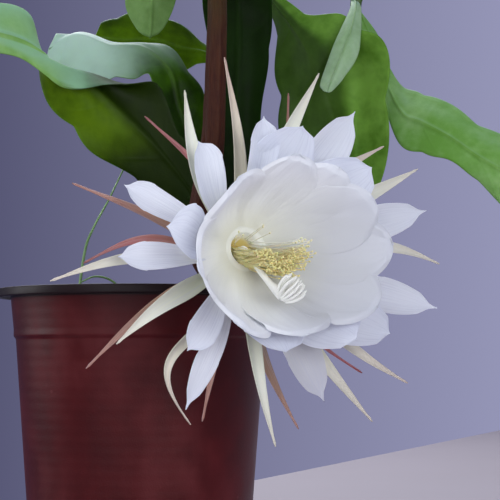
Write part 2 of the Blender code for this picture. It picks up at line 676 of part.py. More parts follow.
def build_style(parts):
    """The style, from the throat's floor out, and the stigma's fingers at its end."""
    points = in_flower(through(np.array(STYLE_ROUTE) * MM, np.linspace(0, 1, 9)))
    style = tube("flower_style", points, [STYLE_RADIUS] * len(points), parts, "white", 1)
    tip = np.array(STYLE_ROUTE[-1]) * MM
    ahead = STIGMA_WAY / np.linalg.norm(STIGMA_WAY)
    side = np.cross(ahead, [0, 1, 0])
    side /= np.linalg.norm(side)
    fingers = []
    for number in range(STIGMA_LOBES):
        turn = number * math.pi * (3 - math.sqrt(5))
        share = math.sqrt((number + 0.5) / STIGMA_LOBES)
        out = (math.cos(turn) * side + math.sin(turn) * np.cross(ahead, side)) * share
        start = tip + out * STIGMA_BASE - ahead * STYLE_RADIUS
        middle = tip + (ahead * 0.5 + out * STIGMA_SPREAD * 0.8) * STIGMA_LENGTH
        end = tip + (ahead * (1 - 0.18 * share ** 2) + out * STIGMA_SPREAD) * STIGMA_LENGTH
        line = in_flower([start, middle, end])
        fingers.append(tube("finger", line, FINGER_RADII, parts, "white", 0))
    return fuse(style, fingers)


def build_plant(parts, cutters):
    """The cane, the leaves and the shoots."""
    cane_points = through(np.array(CANE_ROUTE) * MM, np.linspace(0, 1, 30))
    tube("cane", cane_points, [CANE_RADIUS] * len(cane_points), parts, "green")
    clear_radii = [CANE_RADIUS + GAP] * len(cane_points)
    clear_cane = tube("clear_cane", cane_points, clear_radii, cutters, "green")
    grown = [
        leaf("leaf_right", LEAF_RIGHT, parts),
        leaf("leaf_far_right", LEAF_FAR_RIGHT, parts),
        leaf("leaf_young", LEAF_YOUNG, parts, "pale green", rows=11, lobes=2.5, notch=0.06),
        leaf("leaf_back_left", LEAF_BACK_LEFT, parts, rows=15, lobes=3.5),
        leaf("leaf_tip_left", LEAF_TIP_LEFT, parts, "pale green", rows=15, lobes=3.5, notch=0.1),
    ]
    for blade in grown:
        boolean(blade, clear_cane, "DIFFERENCE", "MANIFOLD")
    bpy.data.objects.remove(clear_cane)
    rooted = [
        ("leaf_centre", LEAF_CENTRE, FOOT_CENTRE),
        ("leaf_left_front", LEAF_LEFT_FRONT, FOOT_LEFT_FRONT),
        ("leaf_left_rear", LEAF_LEFT_REAR, FOOT_LEFT_REAR),
    ]
    for name, stations, route in rooted:
        fuse(leaf(name, stations, parts), [foot(name + "_foot", route, parts)])
    for name, route in (("shoot_tall", SHOOT_TALL), ("shoot_low", SHOOT_LOW)):
        points = through(np.array(route) * MM, np.linspace(0, 1, 12))
        radii = np.linspace(SHOOT_RADIUS, 0.5 * SHOOT_RADIUS, len(points))
        tube(name, points, radii, parts, "green", 0)


def stem_routes():
    """Each stem that stands in the soil, with its radius."""
    return {
        "cane": (CANE_ROUTE, CANE_RADIUS),
        "centre": (FOOT_CENTRE, FOOT_RADIUS_LOW),
        "left_front": (FOOT_LEFT_FRONT, FOOT_RADIUS_LOW),
        "left_rear": (FOOT_LEFT_REAR, FOOT_RADIUS_LOW),
        "shoot_tall": (SHOOT_TALL, SHOOT_RADIUS),
        "shoot_low": (SHOOT_LOW, SHOOT_RADIUS),
    }


def main():
    """Build the potted epiphyllum."""
    clear_scene()
    parts = new_collection("potted_epiphyllum")
    cutters = new_collection("cutters")
    build_pot(parts, cutters)
    build_soil(parts, cutters, stem_routes())
    build_plant(parts, cutters)
    clear_leaf = leaf("clear_leaf", LEAF_CENTRE, cutters, extra=1.5 * MM)
    build_tube(parts, clear_leaf)
    bpy.data.objects.remove(clear_leaf)
    build_whorl("flower_rose_tepals", parts, "rose", ROSE_RING, ROSE, ROSE_TEPALS)
    build_whorl("flower_cream_tepals", parts, "cream", CREAM_RING, CREAM, CREAM_TEPALS)
    build_petals(parts)
    build_stamens(parts)
    build_style(parts)


if __name__ == "__main__":
    main()
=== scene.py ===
"""The looks of a potted epiphyllum in flower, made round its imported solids.

Each piece is a surface worked out from two parameters and put straight into a mesh: blades for leaves
and petals, rods for stems and filaments, turned skins for the pot, the soil and the flower's throat.
Metres, +Z up, front towards -Y, origin under the middle of the pot.
"""

import logging
import math
from dataclasses import dataclass, field
from enum import Enum

import bpy
import numpy as np
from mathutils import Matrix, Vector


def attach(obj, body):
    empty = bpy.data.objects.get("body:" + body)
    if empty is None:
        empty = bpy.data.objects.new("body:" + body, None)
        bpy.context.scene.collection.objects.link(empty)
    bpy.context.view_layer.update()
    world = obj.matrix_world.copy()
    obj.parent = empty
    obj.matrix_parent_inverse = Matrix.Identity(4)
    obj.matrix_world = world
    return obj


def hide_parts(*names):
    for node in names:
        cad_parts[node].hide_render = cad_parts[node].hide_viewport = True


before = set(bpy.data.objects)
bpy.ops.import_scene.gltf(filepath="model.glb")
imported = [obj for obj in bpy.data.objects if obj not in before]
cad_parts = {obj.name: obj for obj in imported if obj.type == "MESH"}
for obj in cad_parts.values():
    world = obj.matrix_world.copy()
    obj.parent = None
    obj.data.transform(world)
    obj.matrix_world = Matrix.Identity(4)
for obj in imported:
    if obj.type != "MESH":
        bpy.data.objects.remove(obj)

MM = 0.001
LOG = logging.getLogger("epiphyllum")
Array = np.ndarray
Colour = tuple[float, float, float]
Row = tuple[float, ...]
X_AXIS, Y_AXIS, Z_AXIS = np.eye(3)


def srgb(red: float, green: float, blue: float) -> Colour:
    """A screen colour as the linear values that a shader takes.

    Args:
        red: Red from 0 to 255.
        green: Green from 0 to 255.
        blue: Blue from 0 to 255.

    Returns:
        The linear red, green and blue, from 0 to 1.
    """
    return tuple(((part / 255 + 0.055) / 1.055) ** 2.4 if part > 10 else part / 3294
                 for part in (red, green, blue))


def unit(vectors: Array) -> Array:
    """Vectors of length one in the same directions.

    Args:
        vectors: Any array whose last axis holds x, y and z.

    Returns:
        The array with each vector divided by its length.
    """
    return vectors / np.maximum(np.linalg.norm(vectors, axis=-1, keepdims=True), 1e-12)


def smooth(values: Array, low: float = 0.0, high: float = 1.0) -> Array:
    """A soft step: 0 below low, 1 above high, and 3x^2 - 2x^3 in between.

    Args:
        values: Where to read the step.
        low: The place where the step starts.
        high: The place where the step ends.

    Returns:
        The step's height at each value.
    """
    x = np.clip((np.asarray(values, float) - low) / (high - low), 0, 1)
    return x * x * (3 - 2 * x)


def through(values: Array, at: Array) -> Array:
    """Read a smooth curve through rows of values, a Catmull-Rom spline with straight ends.

    Args:
        values: The rows that the curve passes through.
        at: Places along it, 0 at the first row and 1 at the last.

    Returns:
        One row for each place.
    """
    rows = np.asarray(values, float)
    last = len(rows) - 1
    rows = np.concatenate([2 * rows[:1] - rows[1:2], rows, 2 * rows[-1:] - rows[-2:-1]])
    where = np.asarray(at, float) * last
    cell = np.clip(where.astype(int), 0, last - 1)
    x = (where - cell).reshape(-1, *[1] * (rows.ndim - 1))
    a, b, c, d = (rows[cell + step] for step in range(4))
    return 0.5 * (2 * b + (c - a) * x + (2 * a - 5 * b + 4 * c - d) * x ** 2
                  + (3 * b - a - 3 * c + d) * x ** 3)


def bend(start: Array, middle: Array, end: Array, at: Array) -> Array:
    """A quadratic curve from a start to an end, drawn towards a middle point.

    Args:
        start: Where it starts.
        middle: The point that draws it aside.
        end: Where it ends.
        at: Places along it, from 0 to 1.

    Returns:
        The points at those places.
    """
    return (1 - at) ** 2 * start + 2 * at * (1 - at) * middle + at ** 2 * end


def swing(root: Array, tip: Array, lean: Row, at: Array) -> Array:
    """A petal's middle line: a cubic curve whose ends lean from the axis by given angles.

    Args:
        root: Reach and height of its root.
        tip: Reach and height of its tip, or of many tips.
        lean: The lean from the axis at the root and at the tip, in degrees.
        at: Places along it, from 0 to 1, of a shape that fits the tips.

    Returns:
        Reach and height at those places.
    """
    ways = [np.array([math.sin(angle), math.cos(angle)]) for angle in np.radians(lean)]
    handle = 0.38 * np.linalg.norm(tip - root, axis=-1, keepdims=True)
    first, second = root + handle * ways[0], tip - handle * ways[1]
    return ((1 - at) ** 3 * root + 3 * at * (1 - at) ** 2 * first
            + 3 * at ** 2 * (1 - at) * second + at ** 3 * tip)


def ripple(first: Array, second: Array, waves: int, fineness: float, seed: int) -> Array:
    """A soft uneven relief: a sum of sine waves of two parameters, each with its own turn and start.

    Args:
        first: The first parameter.
        second: The second parameter, of a shape that fits the first.
        waves: How many waves are added.
        fineness: The highest number of waves over a length of one.
        seed: The draw of the waves' turns and starts.

    Returns:
        Heights of about -1 to 1.
    """
    draw = np.random.default_rng(seed)
    total = 0.0
    for _ in range(waves):
        turn, start = draw.uniform(0, 2 * np.pi, 2)
        pitch = draw.uniform(0.3, 1.0) * fineness
        way = math.cos(turn) * first + math.sin(turn) * second
        total = total + np.sin(2 * np.pi * pitch * way + start)
    return total / math.sqrt(waves)


class Skin:
    """Closed bodies gathered into one mesh.

    A body is a grid of points: rows of closed rings with an even number of points, whose first and last
    rings are folded shut by a strip of faces. Marks are numbers kept at each point for the materials.
    """

    MARKS = ("along", "across", "front", "tone")

    def __init__(self) -> None:
        """Start with no body."""
        self._points: list[Array] = []
        self._faces: dict[int, list[Array]] = {3: [], 4: []}
        self._marks: dict[str, list[Array]] = {name: [] for name in self.MARKS}
        self._count = 0

    @staticmethod
    def _ring_faces(rows: int, ring: int) -> dict[int, Array]:
        """The faces of one body: the sides between neighbouring rings, and the two folded caps.

        Args:
            rows: The number of rings.
            ring: The number of points in a ring.

        Returns:
            The corner numbers of the triangles, under 3, and of the quads, under 4.
        """
        corner = np.arange(rows * ring).reshape(rows, ring)
        ahead = np.roll(corner, -1, axis=1)
        sides = np.stack([corner[:-1], ahead[:-1], ahead[1:], corner[1:]], -1).reshape(-1, 4)
        here = np.arange(1, ring // 2 - 1)
        strip = np.stack([here, here + 1, ring - here - 1, ring - here], -1)
        ends = np.array([[0, 1, ring - 1], [ring // 2 - 1, ring // 2, ring // 2 + 1]])
        top = (rows - 1) * ring
        return {3: np.concatenate([ends[:, ::-1], ends + top]),
                4: np.concatenate([sides, strip[:, ::-1], strip + top])}

    def add(self, grid: Array, **marks: Array | float) -> "Skin":
        """Add one body, or several of the same make.

        Args:
            grid: Points of shape (rows, ring, 3), or (bodies, rows, ring, 3).
            marks: A number, or an array that fits the grid's points, for any of the marks.

        Returns:
            This skin, so that calls can follow each other.
        """
        grid = np.asarray(grid, float)
        grid = grid if grid.ndim == 4 else grid[None]
        bodies, rows, ring = grid.shape[:3]
        flat = grid.reshape(bodies, -1, 3)
        faces = self._ring_faces(rows, ring)
        middle = flat.mean(axis=1, keepdims=True)
        volume = 0.0
        for corners in faces.values():
            shape = (flat - middle)[:, corners]
            for second in range(1, corners.shape[1] - 1):
                normal = np.cross(shape[:, :, second], shape[:, :, second + 1])
                volume = volume + np.einsum("bfk,bfk->b", shape[:, :, 0], normal)
        first = self._count + np.arange(bodies)[:, None, None] * rows * ring
        for size, corners in faces.items():
            placed = first + corners[None]
            placed[volume < 0] = placed[volume < 0][:, :, ::-1]
            self._faces[size].append(placed.reshape(-1, size))
        self._points.append(flat.reshape(-1, 3))
        for name in self.MARKS:
            value = np.asarray(marks.get(name, 0.0), float)
            self._marks[name].append(np.broadcast_to(value, grid.shape[:3]).ravel())
        self._count += bodies * rows * ring
        return self

    def make(self, name: str, material: bpy.types.Material) -> bpy.types.Object:
        """Put the bodies into a new object.

        Args:
            name: The object's name.
            material: Its material.

        Returns:
            The object, at the origin and linked to the scene.
        """
        mesh = bpy.data.meshes.new(name)
        faces = {size: np.concatenate(parts) for size, parts in self._faces.items()}
        corners = np.concatenate([part.ravel() for part in faces.values()])
        sizes = np.concatenate([np.full(len(part), size) for size, part in faces.items()])
        mesh.vertices.add(self._count)
        mesh.vertices.foreach_set("co", np.concatenate(self._points).astype(np.float32).ravel())
        mesh.loops.add(len(corners))
        mesh.loops.foreach_set("vertex_index", corners.astype(np.int32))
        mesh.polygons.add(len(sizes))
        starts = np.concatenate([[0], np.cumsum(sizes)[:-1]])
        mesh.polygons.foreach_set("loop_start", starts.astype(np.int32))
        mesh.update(calc_edges=True)
        for mark, parts in self._marks.items():
            layer = mesh.attributes.new(mark, "FLOAT", "POINT")
            layer.data.foreach_set("value", np.concatenate(parts).astype(np.float32))
        mesh.materials.append(material)
        mesh.shade_smooth()
        piece = bpy.data.objects.new(name, mesh)
        bpy.context.scene.collection.objects.link(piece)
        LOG.info("%s: %d faces", name, len(sizes))
        return piece


def blade(middle: Array, thickness: Array | float) -> tuple[Array, dict[str, Array]]:
    """A thin closed body round a middle surface.

    The front and the back lie half the thickness to each side along the surface's normal. One more
    point on each edge, pushed out by half the thickness there, rounds the rim.

    Args:
        middle: Points of shape (rows, columns, 3), along the blade and then across it.
        thickness: The thickness at each of those points.

    Returns:
        The body's grid, and its marks: along from 0 to 1, across from -1 to 1, front from 0 to 1.
    """
    rows, columns = middle.shape[:2]
    along, across = np.gradient(middle, axis=0), unit(np.gradient(middle, axis=1))
    normal = unit(np.cross(along, across))
    half = 0.5 * np.broadcast_to(thickness, (rows, columns))[..., None]
    left = middle[:, :1] - across[:, :1] * half[:, :1]
    right = middle[:, -1:] + across[:, -1:] * half[:, -1:]
    grid = np.concatenate([left, middle + normal * half, right, (middle - normal * half)[:, ::-1]], axis=1)
    v = np.linspace(-1, 1, columns)
    one = np.ones(columns)
    marks = {
        "along": np.linspace(0, 1, rows)[:, None],
        "across": np.concatenate([[-1], v, [1], v[::-1]])[None],
        "front": np.concatenate([[0.5], one, [0.5], 0 * one])[None],
    }
    return grid, marks


def rod(points: Array, radii: Array, side: Array, ring: int = 12) -> Array:
    """A round body, or several, along a path: at each place a circle across the path.

    Args:
        points: The path, of shape (rows, 3) or (bodies, rows, 3).
        radii: A radius at each place, of shape (rows), (bodies, rows) or (rows, ring).
        side: A direction that the path never follows, which the circles start from.
        ring: The number of points in a circle.

    Returns:
        The grid of the bodies.
    """
    ahead = unit(np.gradient(points, axis=-2))
    first = unit(np.cross(ahead, side))
    second = np.cross(ahead, first)
    turn = np.linspace(0, 2 * np.pi, ring, endpoint=False)[:, None]
    circle = np.cos(turn) * first[..., None, :] + np.sin(turn) * second[..., None, :]
    radii = np.asarray(radii, float)
    radii = radii if radii.shape[-1] == ring and radii.ndim == points.ndim else radii[..., None]
    return points[..., None, :] + circle * radii[..., None]


def turned(profile: Array, steps: int) -> Array:
    """A body turned about Z: each point of the profile becomes a circle.

    Args:
        profile: Rows of radius and height.
        steps: The number of points in a circle.

    Returns:
        The grid of the body.
    """
    turn = np.linspace(0, 2 * np.pi, steps, endpoint=False)
    radius, height = profile[:, :1], profile[:, 1:]
    return np.stack([radius * np.cos(turn), radius * np.sin(turn), height + 0 * turn], -1)


def rounded(corners: list[Row], radius: float, steps: int = 5) -> Array:
    """A line of straight runs with its inner corners rounded by short curves.

    Args:
        corners: The corners as rows of radius and height.
        radius: How far before and after a corner its curve starts, at most.
        steps: The number of points on a curve.

    Returns:
        Rows of radius and height.
    """
    line = np.array(corners, float)
    curve = np.linspace(0, 1, steps)[:, None]
    made = [line[:1]]
    for before, corner, after in zip(line[:-2], line[1:-1], line[2:]):
        reach = min(radius, 0.45 * np.linalg.norm(before - corner), 0.45 * np.linalg.norm(after - corner))
        start = corner + unit(before - corner) * reach
        end = corner + unit(after - corner) * reach
        made.append(bend(start, corner, end, curve))
    return np.concatenate([*made, line[-1:]])


class Term:
    """A number inside a material. Arithmetic on it adds Math nodes."""

    def __init__(self, paint: "Paint", socket: bpy.types.NodeSocket) -> None:
        """Wrap a socket.

        Args:
            paint: The material that the socket belongs to.
            socket: The output that gives the number.
        """
        self.paint = paint
        self.socket = socket

    def __add__(self, other: "Term | float") -> "Term":
        """The sum."""
        return self.paint.math("ADD", self, other)

    def __sub__(self, other: "Term | float") -> "Term":
        """The difference."""
        return self.paint.math("SUBTRACT", self, other)

    def __rsub__(self, other: float) -> "Term":
        """The difference from a plain number."""
        return self.paint.math("SUBTRACT", other, self)

    def __mul__(self, other: "Term | float") -> "Term":
        """The product."""
        return self.paint.math("MULTIPLY", self, other)

    def __abs__(self) -> "Term":
        """The size without its sign."""
        return self.paint.math("ABSOLUTE", self)

    __radd__ = __add__
    __rmul__ = __mul__

    def step(self, low: float, high: float) -> "Term":
        """A soft step from 0 at low to 1 at high, or down where low is the larger.

        Args:
            low: Where the step starts.
            high: Where the step ends.

        Returns:
            The step's height.
        """
        made = self.paint.node("ShaderNodeMapRange", {"interpolation_type": "SMOOTHSTEP"},
                               {"Value": self, "From Min": low, "From Max": high})
        return Term(self.paint, made.outputs[0])


Input = Term | bpy.types.NodeSocket | float | tuple


class Paint:
    """A material that is written as expressions on its nodes."""

    def __init__(self, name: str) -> None:
        """Start a material with one Principled shader.

        Args:
            name: The material's name.
        """
        self.material = bpy.data.materials.new(name)
        self.material.use_nodes = True
        self.tree = self.material.node_tree
        self.shader = self.tree.nodes["Principled BSDF"]

    def node(self, kind: str, settings: dict | None = None, inputs: dict | None = None) -> bpy.types.Node:
        """Add a node.

        Args:
            kind: The node's type.
            settings: What is set on it first, such as an operation, or the stops of a ramp.
            inputs: The value or link of each socket, by name or number.

        Returns:
            The node.
        """
        made = self.tree.nodes.new(kind)
        for name, value in (settings or {}).items():
            if name == "stops":
                self._set_stops(made.color_ramp, value)
            else:
                setattr(made, name, value)
        for key, value in (inputs or {}).items():
            self._feed(made.inputs[key], value)
        return made

    @staticmethod
    def _set_stops(ramp: bpy.types.ColorRamp, stops: list[tuple[float, Colour]]) -> None:
        """Set a ramp's stops.

        Args:
            ramp: The ramp.
            stops: Each stop's place and colour, in order.
        """
        while len(ramp.elements) < len(stops):
            ramp.elements.new(1.0)
        for stop, (place, colour) in zip(ramp.elements, stops):
            stop.position = place
            stop.color = (*colour, 1)

    def _feed(self, socket: bpy.types.NodeSocket, value: Input) -> None:
        """Link a socket, or set it.

        Args:
            socket: The socket that takes the value.
            value: A term or another socket to link, or a plain value.
        """
        if isinstance(value, Term):
            value = value.socket
        if isinstance(value, bpy.types.NodeSocket):
            self.tree.links.new(value, socket)
        elif isinstance(value, tuple) and len(value) == 3 and socket.type == "RGBA":
            socket.default_value = (*value, 1)
        else:
            socket.default_value = value

    def math(self, operation: str, *values: Input) -> Term:
        """A Math node's result."""
        made = self.node("ShaderNodeMath", {"operation": operation}, dict(enumerate(values)))
        return Term(self, made.outputs[0])

    def vector(self, operation: str, inputs: dict) -> bpy.types.NodeSocket:
        """A Vector Math node's result, from its inputs by name or number."""
        return self.node("ShaderNodeVectorMath", {"operation": operation}, inputs).outputs[0]

    def mark(self, name: str) -> Term:
        """A mark that the mesh keeps at its points."""
        return Term(self, self.node("ShaderNodeAttribute", {"attribute_name": name}).outputs["Fac"])

    def place(self, *stretch: float) -> bpy.types.NodeSocket:
        """Object coordinates in metres, stretched by three numbers where they are given.

        Args:
            stretch: The three numbers, or none.

        Returns:
            The coordinates.
        """
        spot = self.node("ShaderNodeTexCoord").outputs["Object"]
        if not stretch:
            return spot
        return self.vector("MULTIPLY", {0: spot, 1: stretch})

    def joined(self, x: Input, y: Input, z: Input) -> bpy.types.NodeSocket:
        """A vector from three numbers."""
        return self.node("ShaderNodeCombineXYZ", None, {0: x, 1: y, 2: z}).outputs[0]

    def noise(self, where: bpy.types.NodeSocket, scale: float, detail: float = 3.0) -> Term:
        """Cloudy noise of about 0 to 1.

        Args:
            where: The coordinates that it is read at.
            scale: Its fineness.
            detail: How many finer layers it has.

        Returns:
            The noise.
        """
        made = self.node("ShaderNodeTexNoise", None, {"Vector": where, "Scale": scale, "Detail": detail})
        return Term(self, made.outputs[0])

    def cells(self, where: bpy.types.NodeSocket, scale: float) -> Term:
        """The distance from the nearest of many scattered points, for specks and grains."""
        made = self.node("ShaderNodeTexVoronoi", None, {"Vector": where, "Scale": scale})
        return Term(self, made.outputs["Distance"])

    def mix(self, share: Input, first: Input, second: Input) -> bpy.types.NodeSocket:
        """A mix of two colours.

        Args:
            share: How much of the second there is, from 0 to 1.
            first: The first colour.
            second: The second colour.

        Returns:
            The colour.
        """
        inputs = {0: share, 6: first, 7: second}
        return self.node("ShaderNodeMix", {"data_type": "RGBA"}, inputs).outputs[2]

    def ramp(self, share: Term, *stops: tuple[float, Colour]) -> bpy.types.NodeSocket:
        """A colour read from a ramp of stops."""
        return self.node("ShaderNodeValToRGB", {"stops": list(stops)}, {"Fac": share}).outputs[0]

    def relief(self, height: Term, depth: float,
               normal: bpy.types.NodeSocket | None = None) -> bpy.types.NodeSocket:
        """A bumped normal.

        Args:
            height: The relief, from 0 to 1.
            depth: Its depth in metres.
            normal: The normal that it is laid on, where that isn't the surface's own.

        Returns:
            The normal.
        """
        inputs = {"Height": height, "Distance": depth}
        if normal is not None:
            inputs["Normal"] = normal
        return self.node("ShaderNodeBump", None, inputs).outputs[0]

    def leaning(self, way: Array, share: Term) -> bpy.types.NodeSocket:
        """The surface's normal leaning towards a direction.

        Light that seeps through a thin petal evens out its shades, and so does a leaning normal.

        Args:
            way: The direction.
            share: How much of the direction is added to the normal.

        Returns:
            The normal.
        """
        own = self.node("ShaderNodeNewGeometry").outputs["Normal"]
        lean = self.vector("SCALE", {0: tuple(way), "Scale": share})
        return self.vector("NORMALIZE", {0: self.vector("ADD", {0: own, 1: lean})})

    def finish(self, **sockets: Input) -> bpy.types.Material:
        """Feed the shader's sockets, and give the material back.

        Args:
            sockets: The value of each socket, which is named with _ for each space.

        Returns:
            The material.
        """
        for name, value in sockets.items():
            self._feed(self.shader.inputs[name.replace("_", " ")], value)
        return self.material


@dataclass(frozen=True)
class PotPlastic:
    """Maroon nursery plastic: half glossy, dusted in streaks, rubbed in spots; painted shade blackens the
    lip.
    """

    maroon: Colour = srgb(84, 15, 19)
    deep: Colour = srgb(62, 9, 13)
    dust_and_painted_sheen: Colour = srgb(108, 50, 54)
    # Painted shade: the almost black colour that the lip is mixed towards.
    lip: Colour = srgb(12, 11, 16)
    lip_height: float = 0.1807

    def paint(self) -> bpy.types.Material:
        """Put the nodes together.

        Returns:
            The material.
        """
        p = Paint("pot_plastic")
        spot = p.place()
        height = Term(p, p.node("ShaderNodeSeparateXYZ", None, {0: spot}).outputs[2])
        cloud = p.noise(spot, 14, 4)
        streak = p.noise(p.place(90, 90, 5), 1, 4)
        grime = p.noise(spot, 60, 5)
        colour = p.mix((cloud * 0.8 + grime * 0.4).step(0.35, 0.85), self.deep, self.maroon)
        dust_and_painted_sheen = (streak * 0.3 + cloud * 0.8).step(0.5, 0.78) * grime.step(0.25, 0.75) * 0.4
        colour = p.mix(dust_and_painted_sheen, colour, self.dust_and_painted_sheen)
        specks = p.cells(spot, 55).step(0.1, 0.03) * p.noise(spot, 25, 1).step(0.52, 0.6)
        colour = p.mix(specks * 0.5, colour, self.dust_and_painted_sheen)
        # Painted shade: the lip is mixed towards an almost black colour, standing for the shade under it.
        lip = height.step(self.lip_height - 0.0012, self.lip_height + 0.0004)
        colour = p.mix(lip * (0.75 + cloud * 0.3), colour, self.lip)
        rings = p.math("SINE", height * 900.0) * 0.12
        fine = p.noise(spot, 900, 2) * 0.35 + streak * 0.35 + rings
        return p.finish(Base_Color=colour, Roughness=0.36 + dust_and_painted_sheen * 0.5 + grime * 0.12,
                        Normal=p.relief(fine, 0.00018), Specular_IOR_Level=0.22)


@dataclass(frozen=True)
class PottingMixFinish:
    """Dark damp potting mix: peat with bark, and pale grit where a piece's tone is high."""

    peat: Colour = srgb(48, 36, 27)
    bark: Colour = srgb(92, 66, 45)
    grit: Colour = srgb(196, 190, 178)

    def paint(self) -> bpy.types.Material:
        """Put the nodes together.

        Returns:
            The material.
        """
        p = Paint("potting_mix")
        spot = p.place()
        grain = p.noise(spot, 240, 6)
        patch = p.noise(spot, 45, 3)
        colour = p.mix((grain * 0.7 + patch * 0.5).step(0.4, 0.8), self.peat, self.bark)
        colour = p.mix(p.mark("tone").step(0.82, 0.9), colour, self.grit)
        return p.finish(Base_Color=colour, Roughness=0.82 + grain * 0.15,
                        Normal=p.relief(grain + p.noise(spot, 900, 3) * 0.5, 0.0012))


@dataclass(frozen=True)
class LeafSkin:
    """Waxy leaf: its upper face has a pale bloom, its under face is deep green with paler veins.

    A pale painted sheen, which stands for light reflected from above, lies on what faces up: its _from
    limits say how far up a face must turn, and its _after limits from where along the leaf. Painted shade,
    in the dark colour, takes the foot and one side: its _foot, _from and _until limits say how far.
    """

    name: str
    upper: Colour = srgb(104, 156, 64)
    bloom: Colour = srgb(148, 192, 122)
    under: Colour = srgb(58, 92, 8)
    shade: Colour = srgb(26, 50, 4)
    vein: Colour = srgb(96, 134, 44)
    # Painted sheen: a pale colour laid on faces that turn up, standing for light reflected from above.
    painted_sheen: Colour = srgb(172, 204, 192)
    painted_sheen_from: Row = (0.45, 0.95)
    painted_sheen_share: float = 0.5
    painted_sheen_after: Row = (-1.0, -0.5)
    # Painted shade: the dark colour laid over the foot and one side, standing for shade on the leaf.
    dark: Colour = srgb(14, 28, 2)
    painted_shade_from: Row = (0.0, 1.0)
    painted_shade_until: Row = (2.0, 1.5)
    painted_shade_foot: Row = (-1.0, -2.0)
    painted_shade_share: float = 0.0
    sheen: float = 0.14
    vein_share: float = 0.22
    lobes: float = 4.5

    def paint(self) -> bpy.types.Material:
        """Put the nodes together.

        Returns:
            The material.
        """
        p = Paint(self.name)
        along, across, front = p.mark("along"), p.mark("across"), p.mark("front")
        spot = p.place()
        cloud = p.noise(spot, 16, 4)
        fleck = p.noise(spot, 130, 4)
        edge = abs(across)
        rib = edge.step(0.11, 0.02)
        slant = p.math("SINE", (along * self.lobes - edge * 0.35) * math.pi)
        vein = abs(slant).step(0.16, 0.0) * edge.step(0.98, 0.5)
        above = p.mix((cloud * 0.9 + fleck * 0.35).step(0.42, 0.85), self.upper, self.bloom)
        below = p.mix((cloud * 0.9 + fleck * 0.3).step(0.38, 0.8), self.shade, self.under)
        colour = p.mix(front, below, above)
        colour = p.mix((rib + vein * 0.15 + edge.step(0.9, 1.0)) * self.vein_share, colour, self.vein)
        # Painted shade: the foot and one side are mixed towards the dark colour.
        foot = along.step(*self.painted_shade_foot)
        side = across.step(*self.painted_shade_from) * along.step(*self.painted_shade_until)
        colour = p.mix((foot + (1 - foot) * side) * self.painted_shade_share, colour, self.dark)
        # Painted sheen: faces that turn up are mixed towards a pale colour, standing for light reflected
        # from above.
        normal = p.node("ShaderNodeNewGeometry").outputs["Normal"]
        upward = Term(p, p.node("ShaderNodeSeparateXYZ", None, {0: normal}).outputs[2])
        reach = (along + (cloud - 0.5) * 0.3).step(*self.painted_sheen_after)
        dust_and_painted_sheen = upward.step(*self.painted_sheen_from) * reach * (0.7 + cloud * 0.6) * self.painted_sheen_share
        colour = p.mix(dust_and_painted_sheen, colour, self.painted_sheen)
        rough = 0.3 + cloud * 0.16 + fleck * 0.08 + front * 0.1
        height = fleck * 0.4 + vein * 0.3 + p.noise(spot, 700, 2) * 0.25
        return p.finish(Base_Color=colour, Roughness=rough, Normal=p.relief(height, 0.0004),
                        Subsurface_Weight=0.15, Subsurface_Scale=0.003, Subsurface_Radius=(0.6, 1.0, 0.15),
                        Specular_IOR_Level=self.sheen)


@dataclass(frozen=True)
class StemSkin:
    """Green stem skin, woody and grey-brown where its tone is high, with fine lengthwise lines."""

    name: str
    green: Colour = srgb(82, 118, 42)
    deep: Colour = srgb(44, 72, 24)
    wood: Colour = srgb(120, 98, 66)

    def paint(self) -> bpy.types.Material:
        """Put the nodes together.

        Returns:
            The material.
        """
        p = Paint(self.name)
        spot = p.place()
        line = p.noise(p.place(420, 420, 30), 1, 3)
        cloud = p.noise(spot, 40, 3)
        colour = p.mix((cloud + line * 0.4).step(0.4, 0.95), self.deep, self.green)
        colour = p.mix((p.mark("tone") + cloud * 0.3 - 0.15).step(0.2, 0.9), colour, self.wood)
        return p.finish(Base_Color=colour, Roughness=0.4 + cloud * 0.25, Normal=p.relief(line, 0.0004),
                        Coat_Weight=0.1, Coat_Roughness=0.4)


@dataclass(frozen=True)
class TepalSkin:
    """Soft tepal: a ramp of colours from root to tip, and another where its tone is strong: a deeper tint
    on the cream and rose tepals, and painted shade on the white petals.

    Fine lengthwise veins raise and tint it, and its back is tinted apart. The evenness says how far the
    front's normal leans to the flower's axis.
    """

    name: str
    pale: tuple[tuple[float, Colour], ...]
    back: Colour
    strong: tuple[tuple[float, Colour], ...] = ()
    back_share: float = 0.25
    vein: Colour = srgb(204, 206, 222)
    vein_share: float = 0.25
    vein_count: float = 26.0
    vein_depth: float = 0.00025
    roughness: float = 0.46
    glow: float = 0.35
    evenness: float = 0.0

    def paint(self) -> bpy.types.Material:
        """Put the nodes together.

        Returns:
            The material.
        """
        p = Paint(self.name)
        along, across, front, tone = (p.mark(name) for name in Skin.MARKS)
        spot = p.place()
        cloud = p.noise(spot, 30, 3)
        lines = p.noise(p.joined(across * self.vein_count, along * 1.6, tone * 7.0), 1, 4)
        place = along + (cloud - 0.5) * 0.12
        colour = p.ramp(place, *self.pale)
        if self.strong:
            colour = p.mix(tone, colour, p.ramp(place, *self.strong))
        colour = p.mix((1 - front) * self.back_share, colour, self.back)
        colour = p.mix(lines.step(0.45, 0.75) * self.vein_share, colour, self.vein)
        height = lines * along.step(0.95, 0.4) * 0.7 + cloud * 0.3
        normal = p.leaning(AXES.rows()[2], front * self.evenness)
        return p.finish(Base_Color=colour, Roughness=self.roughness + (lines - 0.5) * 0.2,
                        Normal=p.relief(height, self.vein_depth, normal), Subsurface_Weight=self.glow,
                        Subsurface_Scale=0.008, Subsurface_Radius=(1.0, 0.95, 0.9),
                        Specular_IOR_Level=0.4)


